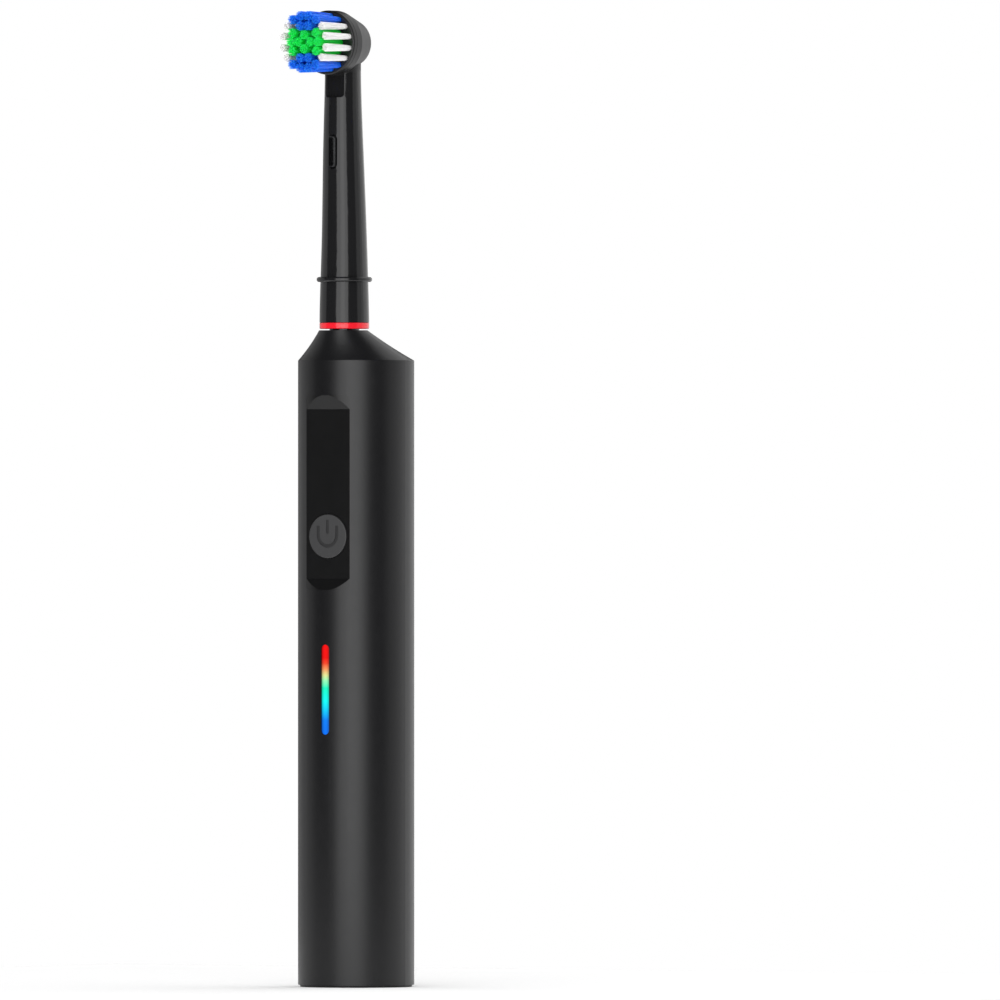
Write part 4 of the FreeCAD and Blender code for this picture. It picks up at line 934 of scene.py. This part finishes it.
# ---------------------------------------------------------------- lit bar
@dataclass
class LightBar:
    """Frosted lens of the charge light: a rounded slot, slightly domed over the round handle."""

    node: str = "light_bar"
    rows: int = 96
    columns: int = 14
    edge: float = 0.12 * MM
    recess: float = 0.22 * MM

    def build(self) -> None:
        """Makes the lens from the CAD solid's box and lets it ride on the handle."""
        low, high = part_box(self.node)
        radius = abs(low.y)
        half = (high.x - low.x) / 2
        mesh = bmesh.new()
        front = self._sheet(mesh, low, high, half, radius)
        back = self._sheet(mesh, low, high, half, radius, True)
        self._close(mesh, front, back)
        bmesh.ops.remove_doubles(mesh, verts=mesh.verts, dist=1e-7)
        bmesh.ops.recalc_face_normals(mesh, faces=mesh.faces)
        piece = mesh_object("light_bar_lens", mesh)
        piece.data.materials.append(LitBar("light_lens", low.z, high.z, half).material())
        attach(piece, "handle")
        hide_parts(self.node)
        LOG.info("lens of the light bar")

    def _sheet(self, mesh: bmesh.types.BMesh, low: Vector, high: Vector, half: float,
               radius: float,
               rear: bool = False) -> list[list[bmesh.types.BMVert]]:
        """One face of the lens as rows of points across the slot.

        Args:
            mesh: the mesh under construction.
            low: lowest corner of the lens.
            high: highest corner of the lens.
            half: half of the slot's width.
            radius: the handle's radius.
            rear: True for the inner face.

        Returns:
            The rows of vertices.
        """
        rows = []
        for row in range(self.rows + 1):
            along = row / self.rows
            z = (low.z + high.z) / 2 - math.cos(math.pi * along) * (high.z - low.z) / 2
            beyond = max(low.z + half - z, z - (high.z - half), 0.0)
            width = math.sqrt(max(half * half - beyond * beyond, 0.0))
            line = []
            for column in range(self.columns + 1):
                x = -math.cos(math.pi * column / self.columns) * width
                rim = min(1.0, max(0.0, half - math.hypot(x, beyond)) / self.edge)
                fall = self.edge * (1 - math.sqrt(1 - (1 - rim) ** 2))
                y = high.y if rear else self.recess + fall - math.sqrt(radius ** 2 - x * x)
                line.append(mesh.verts.new((x, y, z)))
            rows.append(line)
        return rows

    @staticmethod
    def _close(mesh: bmesh.types.BMesh, front: list[list[bmesh.types.BMVert]],
               back: list[list[bmesh.types.BMVert]]) -> None:
        """Faces on both sheets and round their rim."""
        for sheet in (front, back):
            for lower, upper in zip(sheet, sheet[1:]):
                for i in range(len(lower) - 1):
                    mesh.faces.new((lower[i], lower[i + 1], upper[i + 1], upper[i]))
        for side in (0, -1):
            for (a, b), (c, d) in zip(zip(front, front[1:]), zip(back, back[1:])):
                mesh.faces.new((a[side], b[side], d[side], c[side]))


def mesh_object(name: str, mesh: bmesh.types.BMesh, smooth: bool = True) -> bpy.types.Object:
    """Turns a finished bmesh into an object in the scene.

    Args:
        name: the object's name.
        mesh: the bmesh, freed afterwards.
        smooth: whether its faces are shaded smooth, with creases over 35 degrees kept sharp.

    Returns:
        The new object.
    """
    data = bpy.data.meshes.new(name)
    mesh.to_mesh(data)
    mesh.free()
    if smooth:
        data.shade_smooth()
        data.set_sharp_from_angle(angle=math.radians(35))
    piece = bpy.data.objects.new(name, data)
    bpy.context.collection.objects.link(piece)
    return piece


# ---------------------------------------------------------------- studio
@dataclass(frozen=True)
class SoftLight:
    """A soft panel light that stands round the brush and faces its axis."""

    name: str
    azimuth: float
    width: float
    height: float
    distance: float
    radiance: float
    level: float = 0.12
    colour: Colour = (1.0, 1.0, 1.0)

    def build(self, centre: Vector) -> None:
        """Adds the light.

        Args:
            centre: the point on the brush's axis that the panel faces.
        """
        data = bpy.data.lights.new(self.name, "AREA")
        data.shape = "RECTANGLE"
        data.size = self.width
        data.size_y = self.height
        data.color = self.colour
        data.energy = self.radiance * math.pi * self.width * self.height
        light = bpy.data.objects.new(self.name, data)
        angle = math.radians(self.azimuth)
        light.location = (centre.x + math.sin(angle) * self.distance,
                          centre.y - math.cos(angle) * self.distance, self.level)
        toward = Vector((centre.x, centre.y, self.level)) - light.location
        light.rotation_euler = toward.to_track_quat("-Z", "Y").to_euler()
        light.visible_camera = False
        bpy.context.collection.objects.link(light)


@dataclass
class Studio:
    """Pale floor, even white surround, panel lights and the camera."""

    azimuth: float = 32.0
    frame_height: float = 246.0 * MM
    aim_level: float = 119.7 * MM
    aim_right: float = 35.39 * MM
    surround: float = 0.95
    reflected: float = 0.02
    lens: float = 800.0
    sensor: float = 36.0
    floor_size: float = 0.4
    lights: tuple[SoftLight, ...] = (
        SoftLight("key", 22.0, 0.64, 1.0, 0.60, 1.95),
        SoftLight("key_core", 25.0, 0.20, 1.0, 0.58, 0.55),
        SoftLight("left_wrap", 265.0, 0.92, 1.0, 0.70, 0.46),
        SoftLight("right_low_ramp", 106.0, 0.26, 1.2, 0.70, 0.50),
        SoftLight("right_ramp", 128.0, 0.26, 1.4, 0.70, 0.72, 0.25),
        SoftLight("rear_right", 168.0, 0.86, 1.9, 0.70, 0.95, 0.52),
    )

    def build(self) -> None:
        """Builds everything round the brush."""
        self._floor()
        self._world()
        for light in self.lights:
            light.build(Vector((0.0, 0.0, 0.0)))
        self._camera()
        bpy.context.scene.view_settings.view_transform = "Standard"
        LOG.info("studio with %d lights", len(self.lights))

    def _floor(self) -> None:
        """Pale floor that the brush stands on."""
        mesh = bmesh.new()
        bmesh.ops.create_grid(mesh, x_segments=8, y_segments=8, size=self.floor_size / 2)
        floor = mesh_object("studio_floor", mesh)
        graph = Shader("studio_paper", {"Specular IOR Level": 0.1})
        fibre = graph.noise(1.5 * MM, 3.0)
        graph.feed("Base Color", graph.blend(fibre, (0.80, 0.80, 0.80), (0.86, 0.86, 0.86)))
        graph.feed("Roughness", 0.7 + 0.2 * fibre)
        floor.data.materials.append(graph.material)

    def _world(self) -> None:
        """White surround: pure white to the eye, dimmer as diffuse light, dark in reflections."""
        world = bpy.data.worlds.new("studio_world")
        world.use_nodes = True
        bpy.context.scene.world = world
        graph = Graph(world.node_tree)
        path = graph.node("ShaderNodeLightPath")
        glossy = path.out("Is Glossy Ray")
        seen = path.out("Is Camera Ray")
        unseen = self.surround - (self.surround - self.reflected) * glossy
        strength = seen * 1.0 + (1 - seen) * unseen
        background = graph.node("ShaderNodeBackground", {},
                                {"Color": (1.0, 1.0, 1.0, 1.0), "Strength": strength})
        graph.node("ShaderNodeOutputWorld", {}, {"Surface": background})

    def _camera(self) -> None:
        """Level long-lens camera a little to the right of the front."""
        data = bpy.data.cameras.new("camera")
        data.lens = self.lens
        data.sensor_width = self.sensor
        distance = self.frame_height * self.lens / self.sensor
        data.clip_start = distance * 0.1
        data.clip_end = distance * 3
        camera = bpy.data.objects.new("camera", data)
        angle = math.radians(self.azimuth)
        away = Vector((math.sin(angle), -math.cos(angle), 0.0))
        right = Vector((math.cos(angle), math.sin(angle), 0.0))
        aim = right * self.aim_right + Vector((0.0, 0.0, self.aim_level))
        camera.location = aim + away * distance
        camera.rotation_euler = (-away).to_track_quat("-Z", "Y").to_euler()
        bpy.context.collection.objects.link(camera)
        bpy.context.scene.camera = camera


def main() -> None:
    """Builds the toothbrush's finishes, its visual pieces and the studio."""
    logging.basicConfig(level=logging.INFO, format="%(name)s: %(message)s")
    finishes = Finishes()
    finishes.dress_frame()
    LOG.info("%d finishes on %d nodes", len(finishes.slots), len(frame["nodes"]))
    Bristles().build()
    LightBar().build()
    Studio().build()


if __name__ == "__main__":
    main()
